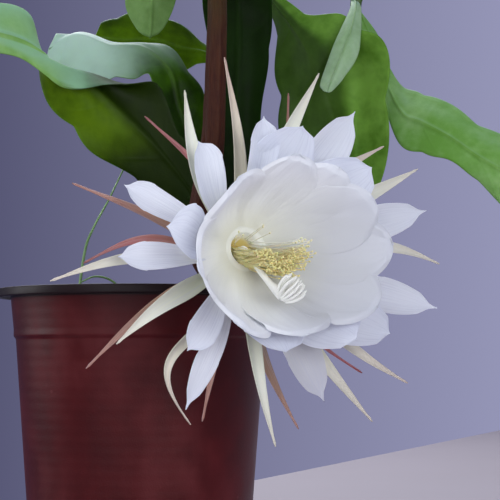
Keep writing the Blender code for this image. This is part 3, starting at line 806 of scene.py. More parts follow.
@dataclass(frozen=True)
class TubeSkin:
    """Flower tube: red-brown with a green tinge where its tone is high, lined and lightly spotted."""

    brown: Colour = srgb(72, 38, 24)
    red: Colour = srgb(56, 24, 18)
    green: Colour = srgb(64, 60, 24)

    def paint(self) -> bpy.types.Material:
        """Put the nodes together.

        Returns:
            The material.
        """
        p = Paint("tube_skin")
        along, across, tone = p.mark("along"), p.mark("across"), p.mark("tone")
        spot = p.place()
        lines = p.noise(p.joined(across * 9.0, along * 5.0, 0.0), 1, 4)
        cloud = p.noise(spot, 50, 4)
        colour = p.mix((lines * 0.8 + cloud * 0.4).step(0.4, 0.8), self.red, self.brown)
        colour = p.mix((tone + cloud * 0.5 - 0.25).step(0.3, 1.0) * 0.7, colour, self.green)
        specks = p.cells(spot, 420).step(0.25, 0.1) * 0.35
        colour = p.mix(specks, colour, self.red)
        return p.finish(Base_Color=colour, Roughness=0.38 + cloud * 0.2,
                        Normal=p.relief(lines + cloud * 0.3, 0.0005), Subsurface_Weight=0.1,
                        Subsurface_Scale=0.003, Specular_IOR_Level=0.12)


@dataclass(frozen=True)
class GrainSkin:
    """A small soft piece such as an anther, a filament or the stigma: two colours in fine grains."""

    name: str
    light: Colour
    dark: Colour
    fineness: float = 900.0
    glow: float = 0.2

    def paint(self) -> bpy.types.Material:
        """Put the nodes together.

        Returns:
            The material.
        """
        p = Paint(self.name)
        spot = p.place()
        grain = p.noise(spot, self.fineness, 3)
        share = (grain * 0.6 + p.mark("tone") * 0.6 + p.noise(spot, 120, 2) * 0.3).step(0.4, 1.1)
        return p.finish(Base_Color=p.mix(share, self.light, self.dark), Roughness=0.45 + grain * 0.3,
                        Normal=p.relief(grain, 0.0002), Subsurface_Weight=self.glow,
                        Subsurface_Scale=0.002)


@dataclass(frozen=True)
class FloorFinish:
    """Plain pale matt table top."""

    pale: Colour = srgb(176, 168, 176)
    warm: Colour = srgb(166, 158, 164)

    def paint(self) -> bpy.types.Material:
        """Put the nodes together.

        Returns:
            The material.
        """
        p = Paint("pale_floor")
        cloud = p.noise(p.place(), 3, 3)
        return p.finish(Base_Color=p.mix(cloud, self.pale, self.warm), Roughness=0.6)


@dataclass
class NurseryPot:
    """The pot: a tapered shell with a wide rolled lip, a collar, a foot ring and drain holes.

    The collar ends in a bead, and the foot in a slight skirt. The body is dented a little, as thin
    plastic is.
    """

    height: float = 187 * MM
    lip_radius: float = 100 * MM
    lip_thickness: float = 4 * MM
    lip_drop: float = 6 * MM
    collar_height: float = 33 * MM
    collar_top: float = 90.5 * MM
    collar_foot: float = 86.5 * MM
    foot_radius: float = 75 * MM
    wall: float = 3 * MM
    floor: float = 4 * MM
    mouth_flare: float = 1 * MM
    rim: float = 2.3 * MM
    rim_slope: float = 0.3 * MM
    bead: float = 1.6 * MM
    bead_height: float = 5 * MM
    bead_under: float = 1.2 * MM
    skirt: float = 0.8 * MM
    skirt_height: float = 10 * MM
    skirt_under: float = 1.4 * MM
    foot_ring: float = 6 * MM
    foot_hollow: float = 0.8 * MM
    middle: float = 0.2 * MM
    rounding: float = 1.1 * MM
    dent: float = 0.25 * MM
    dent_radius: float = 80 * MM
    drain_radius: float = 4.5 * MM
    drain_circle: float = 45 * MM
    drains: int = 5
    steps: int = 144
    finish: PotPlastic = field(default_factory=PotPlastic)

    def outline(self) -> Array:
        """The profile, from the middle of the floor up the inside, over the lip and down to the foot.

        Returns:
            Rows of radius and height.
        """
        top, under = self.height, self.height - self.lip_thickness
        foot = self.height - self.collar_height
        corners = [
            (self.middle, self.floor),
            (self.foot_radius - self.wall, self.floor),
            (self.collar_foot - self.wall, foot),
            (self.collar_top - self.wall, under),
            (self.collar_top - self.wall + self.mouth_flare, top),
            (self.lip_radius, top),
            (self.lip_radius, top - self.lip_drop),
            (self.lip_radius - self.rim, top - self.lip_drop),
            (self.lip_radius - self.rim - self.rim_slope, under),
            (self.collar_top, under),
            (self.collar_foot + self.bead - 0.1 * MM, foot + self.bead_height),
            (self.collar_foot + self.bead, foot + 0.5 * MM),
            (self.collar_foot, foot - self.bead_under),
            (self.foot_radius + self.skirt, self.skirt_height),
            (self.foot_radius - 0.5 * self.skirt, self.skirt_height - self.skirt_under),
            (self.foot_radius, 0),
            (self.foot_radius - self.foot_ring, 0),
            (self.foot_radius - self.foot_ring - 1.5 * MM, self.foot_hollow),
            (self.middle, self.foot_hollow),
        ]
        return rounded(corners, self.rounding)

    def build(self) -> list[bpy.types.Object]:
        """Make the pot and drill its drain holes.

        Returns:
            The pieces.
        """
        grid = turned(self.outline(), self.steps)
        turn = np.arctan2(grid[..., 1], grid[..., 0])
        dent = ripple(turn / (2 * np.pi), grid[..., 2] * 4, 5, 2.0, 3)
        dent = dent * smooth(grid[..., 2], 10 * MM, 50 * MM) * self.dent
        grid[..., :2] *= 1 + dent[..., None] / self.dent_radius
        pot = Skin().add(grid, along=grid[..., 2] / self.height).make("nursery_pot", self.finish.paint())
        pot.data.set_sharp_from_angle(angle=math.radians(60))
        self._drill(pot)
        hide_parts("pot")
        return [pot]

    def _drill(self, pot: bpy.types.Object) -> None:
        """Cut the ring of drain holes through the floor.

        Args:
            pot: The pot's object.
        """
        turn = np.arange(self.drains) * 2 * np.pi / self.drains
        spots = np.stack([np.cos(turn), np.sin(turn), 0 * turn], -1) * self.drain_circle
        path = spots[:, None] + np.linspace(-2, 2, 3)[:, None] * self.floor * Z_AXIS
        drills = Skin().add(rod(path, np.full(3, self.drain_radius), X_AXIS, 24))
        cutter = drills.make("drills", pot.data.materials[0])
        change = pot.modifiers.new("Drains", "BOOLEAN")
        change.object = cutter
        change.operation = "DIFFERENCE"
        change.solver = "EXACT"
        shown = pot.evaluated_get(bpy.context.evaluated_depsgraph_get())
        mesh = bpy.data.meshes.new_from_object(shown)
        pot.modifiers.clear()
        pot.data = mesh
        bpy.data.objects.remove(cutter)


@dataclass
class PottingMix:
    """The soil in the pot: a lumpy heaped top with bits of bark and grit lying on it."""

    height: float = 163 * MM
    heap: float = 5 * MM
    top_radius: float = 84 * MM
    foot_radius: float = 71 * MM
    floor: float = 4.3 * MM
    sunk: float = 1.5 * MM
    side_top: float = 12 * MM
    bits: int = 420
    bit_size: Row = (0.8 * MM, 2.6 * MM)
    finish: PottingMixFinish = field(default_factory=PottingMixFinish)

    def surface(self, x: Array, y: Array) -> Array:
        """The top's height: a low dome with lumps laid on it.

        Args:
            x: Places along X.
            y: Places along Y.

        Returns:
            The height above the ground at each place.
        """
        share = np.hypot(x, y) / self.top_radius
        lumps = ripple(x, y, 9, 60.0, 11) * 0.8 + ripple(x, y, 9, 160.0, 12) * 0.35
        dome = self.heap * (1 - share ** 2)
        return self.height - self.sunk + dome + lumps * MM * smooth(1 - share, 0, 0.1)

    def build(self) -> list[bpy.types.Object]:
        """Make the soil and its bits.

        Returns:
            The pieces.
        """
        share = np.concatenate([np.linspace(0.004, 1, 70), [1.0, 1.0]])
        grid = turned(np.stack([share * self.top_radius, 0 * share], -1), 120)
        grid[..., 2] = self.surface(grid[..., 0], grid[..., 1])
        grid[-2, :, 2] = self.height - self.side_top
        grid[-1, :, 2] = self.floor
        grid[-1, :, :2] *= self.foot_radius / self.top_radius
        skin = Skin().add(grid)
        draw = np.random.default_rng(7)
        radius = self.top_radius * 0.97 * np.sqrt(draw.uniform(0, 1, self.bits))
        turn, lean = draw.uniform(0, 2 * np.pi, (2, self.bits))
        size = draw.uniform(*self.bit_size, self.bits)
        x, y = radius * np.cos(turn), radius * np.sin(turn)
        spot = np.stack([x, y, self.surface(x, y) + 0.4 * size], -1)
        ahead = np.stack([np.cos(lean), np.sin(lean), draw.uniform(-0.5, 0.5, self.bits)], -1)
        reach = np.linspace(-1, 1, 7)
        half = size * draw.uniform(1, 2.2, self.bits)
        path = spot[:, None] + reach[:, None] * (unit(ahead) * half[:, None])[:, None]
        slim = size * draw.uniform(0.4, 0.7, self.bits)
        girth = slim[:, None] * np.sqrt(np.clip(1.04 - reach ** 2, 0, 1))
        tone = draw.uniform(0, 1, (self.bits, 1, 1))
        skin.add(rod(path, girth, Z_AXIS, 8), tone=tone)
        mix = skin.make("potting_mix", self.finish.paint())
        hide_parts("soil")
        return [mix]


@dataclass
class Stem:
    """A round stem along a route: the old cane with its joints, or a thin shoot."""

    name: str
    node: str
    route: list[Row]
    radius: float
    tip_radius: float
    finish: StemSkin
    woody: float = 0.0
    knots: int = 0
    rows: int = 160
    ring: int = 20

    def build(self) -> list[bpy.types.Object]:
        """Make the stem: a rod whose radius swells at each knot and wavers a little round about.

        Returns:
            The pieces.
        """
        at = np.linspace(0, 1, self.rows)
        points = through(np.array(self.route) * MM, at)
        turn = np.linspace(0, 1, self.ring, endpoint=False)[None]
        radius = (self.radius + (self.tip_radius - self.radius) * at)[:, None]
        swell = np.abs(np.sin(np.pi * self.knots * at))[:, None] ** 12 * 0.16 if self.knots else 0.0
        waver = 0.04 * np.sin(2 * np.pi * (3 * turn + 2 * at[:, None]))
        waver = waver + 0.03 * ripple(at[:, None], turn, 5, 9, 5)
        radius = radius * (1 + swell + waver - 0.05)
        ends = np.sqrt(np.clip(np.minimum((1 - at) / 0.012, 1), 0.02, 1))[:, None]
        tone = self.woody * smooth(0.75 - at[:, None])
        grid = rod(points, radius * ends, Y_AXIS, self.ring)
        stem = Skin().add(grid, along=at[:, None], tone=tone).make(self.name, self.finish.paint())
        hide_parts(self.node)
        return [stem]


@dataclass
class FlatLeaf:
    """A flat notched leaf, drawn through stations from its foot to its tip.

    A station's points run across the leaf from one edge to the other, in millimetres. A leaf with a
    stalk also has a round foot, from the soil up into its rib.
    """

    name: str
    stations: list[list[Row]]
    finish: LeafSkin
    slot: str = "leaf_green"
    lobes: float = 4.5
    notch: float = 0.16
    upper_first: bool = True
    stalk: list[Row] = field(default_factory=list)
    seed: int = 0
    rows: int = 150
    columns: int = 45
    edge: float = 1.5 * MM
    rib: float = 2.6 * MM
    belly: float = 0.7 * MM
    vein: float = 0.15 * MM
    stalk_radius: float = 4.6 * MM
    stalk_tip: float = 1.9 * MM

    def middle(self) -> Array:
        """The leaf's middle surface.

        Smooth curves run through the stations lengthwise and then across. The edge is drawn in towards
        the rib at each notch by the notch times 1 - |sin| of the lobes, and the sheet waves gently.

        Returns:
            Points of shape (rows, columns, 3).
        """
        along = np.linspace(0, 1, self.rows)
        across = np.linspace(0, 1, self.columns)
        lengthwise = through(np.array(self.stations) * MM, along)
        grid = through(lengthwise.transpose(1, 0, 2), across).transpose(1, 0, 2)
        centre = grid[:, self.columns // 2:self.columns // 2 + 1]
        v = np.abs(2 * across - 1)[None]
        wave = 1 - np.sqrt(np.sin(np.pi * self.lobes * along) ** 2 + 0.004)
        ends = smooth(along, 0, 0.04) * smooth(1 - along, 0, 0.04)
        drawn = self.notch * (wave * ends)[:, None] * v ** 2.4
        grid = grid + (centre - grid) * drawn[..., None]
        normal = unit(np.cross(np.gradient(grid, axis=0), np.gradient(grid, axis=1)))
        reach = np.linalg.norm(grid[:, -1] - grid[:, 0], axis=-1)[:, None]
        sway = ripple(along[:, None] * 2.2, across[None], 5, 2.0, self.seed + 20) * 0.022 * reach
        quilt = np.cos(2 * np.pi * (self.lobes * along[:, None] - 0.2 * v))
        quilt = quilt * v * (1 - 0.3 * v) * 0.014 * reach
        return grid + normal * ((sway + quilt) * ends[:, None])[..., None]

    def build(self) -> list[bpy.types.Object]:
        """Make the leaf: thick along its rib, thinning outwards, with faint raised side veins.

        Returns:
            The pieces.
        """
        along = np.linspace(0, 1, self.rows)[:, None]
        v = np.linspace(-1, 1, self.columns)[None]
        slant = np.sin(np.pi * (self.lobes * along - 0.35 * np.abs(v)))
        veins = np.exp(-(slant / 0.12) ** 2) * smooth(1 - np.abs(v), 0, 0.5) * self.vein
        thickness = self.edge + self.belly * (1 - v ** 2) + self.rib * np.exp(-(v / 0.075) ** 2) + veins
        thickness = thickness * (0.45 + 0.55 * smooth(1 - np.abs(v), 0, 0.12))
        grid, marks = blade(self.middle(), thickness)
        if not self.upper_first:
            marks["front"] = 1 - marks["front"]
        skin = Skin().add(grid, tone=self.seed * 0.1, **marks)
        if self.stalk:
            at = np.linspace(0, 1, 60)
            points = through(np.array(self.stalk) * MM, at)
            radii = self.stalk_radius + (self.stalk_tip - self.stalk_radius) * smooth(at, 0.2, 1)
            skin.add(rod(points, radii, Y_AXIS, 16), along=0.0, front=0.3, across=0.6)
        leaf = skin.make(self.name + "_blade", self.finish.paint())
        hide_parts(self.name)
        return [leaf]


@dataclass(frozen=True)
class FlowerAxes:
    """The flower's own directions: right, up, and out of its mouth, from the middle of its base."""

    base: Row = (68, -150, 200)
    turn: float = math.radians(30)
    lift: float = math.radians(3.5)

    def rows(self) -> Array:
        """The three directions as rows.

        Returns:
            One row for each direction.
        """
        out = np.array([math.sin(self.turn) * math.cos(self.lift),
                        -math.cos(self.turn) * math.cos(self.lift), math.sin(self.lift)])
        right = np.array([math.cos(self.turn), math.sin(self.turn), 0])
        return np.stack([right, np.cross(out, right), out])

    def place(self, points: Array) -> Array:
        """Points given as right, up and out, in metres, placed in the world."""
        return np.array(self.base) * MM + np.asarray(points, float) @ self.rows()


AXES = FlowerAxes()


@dataclass(frozen=True)
class Growth:
    """How the tepals of a whorl grow.

    Root radius and height in millimetres, lean from the axis at root and tip in degrees, the widest
    place, the width at the root, how full and how round the end is, the share of the length that the
    small point takes, how deep the tepal is cupped, how much its edge ruffles, and its tilt in degrees.
    """

    root: Row
    lean: Row
    widest: float
    foot: float
    full: float
    cup: float
    roundness: float = 1.0
    point: float = 0.0
    ruffle: float = 0.0
    tilt: float = 0.0
    thickness: float = 0.8 * MM
    tip_width: float = 1.2 * MM
    rows: int = 60
    columns: int = 33

    def middle(self, row: Row, seed: int) -> Array:
        """The middle surface of one tepal.

        Its middle line is a cubic curve in the plane through the axis, from the root to the tip, moved
        sideways by its bow. Its half width swells from the foot to the widest place and closes as
        (1 - x^full)^(1/roundness), joined smoothly with the small point. Its edges are lifted towards
        the axis by the cup, turned about the middle line by the tilt, and ruffled.

        Args:
            row: Turn about the axis in degrees, reach, rise, width, bow in millimetres, how late the
                bow comes.
            seed: The draw of the ruffle.

        Returns:
            Points of shape (rows, columns, 3).
        """
        turn, reach, rise, width, bow, late = row[:6]
        root, tip = np.array(self.root) * MM, np.array([reach, rise]) * MM
        u = 1 - (1 - np.linspace(0, 1, self.rows)) ** 1.6
        line = swing(root, tip, self.lean, u[:, None])
        slope = unit(np.gradient(line, u, axis=0))
        half = self._half_width(u, width * MM)[:, None]
        v = np.linspace(-1, 1, self.columns)[None]
        edge = np.maximum(np.abs(v), smooth(u[:, None], 0.8, 1.0))
        wave = ripple(u[:, None] * 1.6, v * 0.8, 4, 1.4, seed) * self.ruffle * edge ** 2
        lift = half * (self.cup * 2 * v ** 2 + wave)
        tilt = math.radians(self.tilt)
        sideways = half * v * math.cos(tilt) + bow * MM * np.sin(np.pi * u ** late)[:, None]
        lift = lift + half * v * math.sin(tilt)
        out = line[:, :1] - slope[:, 1:] * lift
        up = line[:, 1:] + slope[:, :1] * lift
        angle = math.radians(turn)
        right = out * math.cos(angle) - sideways * math.sin(angle)
        high = out * math.sin(angle) + sideways * math.cos(angle)
        return AXES.place(np.stack([right, high, up], -1))

    def _half_width(self, u: Array, width: float) -> Array:
        """Half the width along the tepal.

        Args:
            u: Places along it, from 0 to 1.
            width: The greatest width.

        Returns:
            Half the width at each place.
        """
        end = 1 - self.point
        swell = self.foot + (1 - self.foot) * smooth(u, 0, self.widest)
        closing = np.clip((u - self.widest) / (end - self.widest), 0, 1)
        body = swell * np.clip(1 - closing ** self.full, 0, 1) ** (1 / self.roundness)
        if self.point:
            spike = 0.16 * np.clip((1 - u) / self.point, 0, 4) ** 1.3
            body = (body ** 3 + np.minimum(spike, 0.5) ** 3 * (u > self.widest)) ** (1 / 3)
        return 0.5 * np.maximum(width * body, self.tip_width * np.clip((1 - u) / 0.02, 0.3, 1))


class Whorl(Enum):
    """The outer whorls, the petals right behind the bowl and the blunt ones, each with how it grows."""

    OUTER = Growth(root=(16, 3), lean=(58, 88), widest=0.64, foot=0.3, full=2.1, cup=0.16, roundness=1.35,
                   point=0.05, ruffle=0.07, tilt=4)
    BACK = Growth(root=(16, 0), lean=(71, 40), widest=0.66, foot=0.3, full=2.1, cup=0.08, roundness=1.7,
                  point=0.02, ruffle=0.07, tilt=3)
    SPOON = Growth(root=(16, 3), lean=(58, 88), widest=0.78, foot=0.3, full=1.9, cup=0.2, roundness=1.5,
                   point=0.03, ruffle=0.09, tilt=4)
    CREAM = Growth(root=(12, -4.5), lean=(68, 98), widest=0.4, foot=0.55, full=1.4, cup=0.25,
                   thickness=1.3 * MM, columns=21)
    ROSE = Growth(root=(10, -12), lean=(78, 94), widest=0.35, foot=0.55, full=1.3, cup=0.2,
                  thickness=1.1 * MM, columns=17)


@dataclass
class TepalWhorl:
    """One whorl of tepals and the part of the flower's base that they grow from."""

    name: str
    node: str
    slot: str
    growth: Growth
    table: list[Row]
    finish: TepalSkin
    ring: list[Row] = field(default_factory=list)

    def build(self) -> list[bpy.types.Object]:
        """Make the tepals: each thicker at its foot, and thinning towards its edge.

        Returns:
            The pieces.
        """
        skin = Skin()
        growth = self.growth
        for number, row in enumerate(self.table):
            middle = growth.middle(row, number)
            u = np.linspace(0, 1, growth.rows)[:, None]
            v = np.linspace(-1, 1, growth.columns)[None]
            fat = growth.thickness * (1.6 - 0.9 * smooth(u, 0, 0.5))
            fat = fat * (0.45 + 0.55 * np.sqrt(1.02 - v ** 2))
            grid, marks = blade(middle, fat)
            skin.add(grid, tone=row[6] if len(row) > 6 else 0.0, **marks)
        if self.ring:
            grid = AXES.place(turned(rounded(self.ring, 1.5), 64) * MM)
            skin.add(grid, along=0.0, front=1.0, tone=0.3)
        piece = skin.make(self.name, self.finish.paint())
        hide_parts(self.node)
        return [piece]


@dataclass
class Bowl:
    """The inner petals, which overlap in one smooth bowl.

    A row for each petal: turn about the axis in degrees, and reach, rise, width and lift off the bowl in
    millimetres. The petals' tone grows towards the dim turn, the side that the light reaches least, and
    the material's second ramp paints shade on them there.
    """

    petals: list[Row]
    finish: TepalSkin
    root: Row = (11.4, 7.2)
    shift: Row = (1.5, 4.5)
    lean: Row = (62, 22)
    blend: float = 9.0
    widest: float = 0.68
    foot: float = 0.5
    full: float = 2.0
    roundness: float = 2.0
    tilt: float = math.radians(1.7)
    roll: float = 2.4 * MM
    sway: float = 0.6 * MM
    pleat: float = 0.12 * MM
    thickness: float = 0.7 * MM
    dim_turn: float = math.radians(-22)
    dim_from: float = 0.1
    rows: int = 76
    columns: int = 53

    def surface(self, theta: Array, u: Array) -> Array:
        """The bowl that all the petals lie on.

        At each turn theta the bowl's line is a cubic curve from the root to a tip, whose reach and rise
        are those of the petals, each weighted by exp(blend (cos(theta - its own turn) - 1)). The whole is
        moved by shift (1 - u)^3, since the throat lies a little off the axis.

        Args:
            theta: Turns about the axis in radians.
            u: Places along the line, 0 at the root and 1 at the rim, of the same shape.

        Returns:
            Points as right, up and out.
        """
        turns = np.radians([row[0] for row in self.petals])
        weight = np.exp(self.blend * (np.cos(theta[..., None] - turns) - 1))
        tip = weight @ (np.array(self.petals)[:, 1:3] * MM) / weight.sum(-1, keepdims=True)
        line = swing(np.array(self.root) * MM, tip, self.lean, u[..., None])
        right = line[..., 0] * np.cos(theta) + self.shift[0] * MM * (1 - u) ** 3
        high = line[..., 0] * np.sin(theta) + self.shift[1] * MM * (1 - u) ** 3
        return np.stack([right, high, line[..., 1]], -1)

    def petal(self, row: Row, number: int) -> Array:
        """The middle surface of one petal, a patch of the bowl.

        A place v across the petal lies half the width times v round the bowl. The patch leans by the
        tilt, so that its one side lies over the next petal, and its rim rolls outwards.

        Args:
            row: The petal's row.
            number: Its place in the table, for the ripple's draw.

        Returns:
            Points as right, up and out, of shape (rows, columns, 3).
        """
        u = (1 - (1 - np.linspace(0, 1, self.rows)) ** 1.7)[:, None]
        v = np.linspace(-1, 1, self.columns)[None]
        own = math.radians(row[0]) + 0 * v * u
        closing = np.clip((u - self.widest) / (1 - self.widest), 0, 1)
        swell = self.foot + (1 - self.foot) * smooth(u, 0, self.widest)
        half = 0.5 * row[3] * MM * swell * np.clip(1 - closing ** self.full, 0, 1) ** (1 / self.roundness)
        radius = np.linalg.norm(self.surface(own, u + 0 * v)[..., :2], axis=-1)
        theta = own + np.maximum(half, 0.6 * MM) * v / radius
        grid = self.surface(theta, u + 0 * v)
        normal = unit(np.cross(np.gradient(grid, axis=0), np.gradient(grid, axis=1)))
        edge = np.maximum(np.abs(v) * smooth(u, 0.6, 0.88), smooth(u, 0.84, 1.0))
        lift = -math.tan(self.tilt) * half * v * smooth(u, 0.3, 0.8)
        lift = lift - self.roll * smooth(edge, 0.78, 1.0) ** 2 + row[4] * MM * smooth(u, 0.45, 0.9)
        sway = ripple(u * 1.3, v * 0.8, 5, 1.6, number + 40) * self.sway
        pleat = ripple(u * 0.3, v * 4.0, 4, 1.5, number + 60) * self.pleat
        lift = lift + sway * smooth(u, 0.3, 0.9) + pleat * smooth(u, 0.1, 0.5)
        return grid + normal * lift[..., None]

    def seat(self, steps: int, rows: int, reach: float, lift: float) -> Array:
        """The bowl's floor: a skin that starts above the petals' feet and sinks smoothly into them.

        Args:
            steps: The number of points round the axis.
            rows: The number of rings.
            reach: Where the skin ends, as a place along the petals.
            lift: How far above the petals it starts.

        Returns:
            Points as right, up and out, of shape (rows, steps, 3), from the throat outwards.
        """
        theta = np.linspace(0, 2 * np.pi, steps, endpoint=False)[None]
        u = np.linspace(0.02, reach, rows)[:, None]
        grid = self.surface(theta + 0 * u, u + 0 * theta)
        across = np.roll(grid, -1, axis=1) - np.roll(grid, 1, axis=1)
        normal = unit(np.cross(np.gradient(grid, axis=0), across))
        sink = lift - (lift + 1.2 * MM) * (u / reach) ** 1.5
        return grid + normal * sink[..., None]

    def build(self) -> list[bpy.types.Object]:
        """Make the petals, thicker at their feet and thin at their edges, with their tone.

        Returns:
            The pieces.
        """
        skin = Skin()
        u = np.linspace(0, 1, self.rows)[:, None]
        v = np.linspace(-1, 1, self.columns)[None]
        fat = self.thickness * (1.5 - 0.8 * smooth(u, 0, 0.5)) * (0.35 + 0.65 * np.sqrt(1.02 - v ** 2))
        for number, row in enumerate(self.petals):
            petal = self.petal(row, number)
            grid, marks = blade(AXES.place(petal), fat)
            # Painted shade: the tone darkens the petals towards the dim turn, through the material's
            # second ramp.
            turn = np.arctan2(petal[..., 1], petal[..., 0]) - self.dim_turn
            dim = smooth(np.cos(turn), self.dim_from, 1.0)
            tone = np.concatenate([dim[:, :1], dim, dim[:, -1:], dim[:, ::-1]], axis=1)
            skin.add(grid, tone=tone, **marks)
        piece = skin.make("inner_petals", self.finish.paint())
        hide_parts("flower_petals")
        return [piece]


@dataclass
class FlowerTube:
    """The long curved tube that carries the flower, with its small pointed scales."""

    route: list[Row]
    radii: list[float]
    scales: list[Row]
    end: float = -16.0
    end_radius: float = 11.0
    scale_length: float = 11 * MM
    scale_half: float = 2.6 * MM
    scale_lift: float = 2.4 * MM
    scale_sunk: float = 0.5 * MM
    scale_thickness: float = 0.7 * MM
    ring: int = 36
    finish: TubeSkin = field(default_factory=TubeSkin)

    def build(self) -> list[bpy.types.Object]:
        """Make the tube: a rod with soft lengthwise ribs, and scales that lie along it.

        Returns:
            The pieces.
        """
        ends = (AXES.place(np.array([(0, 0, self.end - 4), (0, 0, self.end)]) * MM)) / MM
        route = np.concatenate([np.array(self.route, float), ends])
        radii = np.array([*self.radii, self.end_radius, self.end_radius])[:, None]
        at = np.linspace(0, 1, 220)
        points = through(route, at) * MM
        radius = through(radii, at) * MM
        turn = np.linspace(0, 1, self.ring, endpoint=False)[None]
        ribs = 0.05 * np.cos(2 * np.pi * (7 * turn + 0.4 * at[:, None])) * smooth(1 - at[:, None], 0, 0.2)
        fine = 0.018 * ripple(at[:, None] * 6, turn * 2, 6, 4, 4)
        tone = smooth(0.45 - at[:, None], 0, 0.4)
        side = np.array([1.0, 0.3, 0.0])
        grid = rod(points, radius * (1 + ribs + fine), side, self.ring)
        skin = Skin().add(grid, along=at[:, None] * 9, across=np.cos(2 * np.pi * turn) * 1.6, tone=tone)
        for share, around in self.scales:
            skin.add(self._scale(points, radius[:, 0], share, math.radians(around)), tone=0.1)
        tube = skin.make("flower_stalk_tube", self.finish.paint())
        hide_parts("flower_tube")
        return [tube]

    def _scale(self, points: Array, radii: Array, share: float, around: float) -> Array:
        """One pointed scale: a small cupped blade that starts in the tube's skin and lifts off it.

        Args:
            points: The tube's middle line.
            radii: Its radii.
            share: Where along the tube the scale sits, from 0 to 1.
            around: Where round the tube it sits, in radians.

        Returns:
            The grid of the scale.
        """
        number = int(share * (len(points) - 1))
        ahead = unit(points[number + 1] - points[number])
        side = unit(np.cross(ahead, Y_AXIS))
        out = math.cos(around) * side + math.sin(around) * np.cross(ahead, side)
        wide = np.cross(ahead, out)
        u = np.linspace(0, 1, 16)[:, None, None]
        v = np.linspace(-1, 1, 9)[None, :, None]
        half = self.scale_half * np.sqrt(np.clip(1 - u, 0.004, 1)) * (0.7 + 0.5 * u)
        lift = radii[number] - self.scale_sunk + self.scale_lift * u ** 2 - 0.5 * half * v ** 2
        middle = points[number] + ahead * u * self.scale_length + out * lift + wide * half * v
        return blade(middle, self.scale_thickness)[0]


@dataclass
class Throat:
    """The smooth floor of the bowl and the hollow in its middle, which lies a little off the axis.

    The hollow shifts to the bowl's middle between the two heights of shifted, and its colour grows pale
    between the two heights of coloured.
    """

    bowl: Bowl
    finish: TepalSkin
    hollow: list[Row]
    outside: list[Row]
    steps: int = 120
    floor_rows: int = 26
    floor_reach: float = 0.17
    floor_lift: float = 0.7 * MM
    shifted: Row = (-6 * MM, 7 * MM)
    coloured: Row = (-9 * MM, 12 * MM)

    def build(self) -> list[bpy.types.Object]:
        """Make one closed skin: up out of the hollow, out over the petals' feet, and back underneath.

        Returns:
            The pieces.
        """
        inner = turned(rounded(self.hollow, 1.2) * MM, self.steps)
        inner[..., :2] += smooth(inner[..., 2:], *self.shifted) * np.array(self.bowl.shift) * MM
        floor = self.bowl.seat(self.steps, self.floor_rows, self.floor_reach, self.floor_lift)
        outer = turned(np.array(self.outside) * MM, self.steps)
        grid = np.concatenate([inner, floor, outer])
        rise = smooth(inner[:, 0, 2], *self.coloured)
        along = np.concatenate([rise, np.linspace(0.8, 1, self.floor_rows), np.ones(len(outer))])
        skin = Skin().add(AXES.place(grid), along=along[:, None], front=1.0)
        piece = skin.make("throat", self.finish.paint())
        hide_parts("flower_petals")
        return [piece]


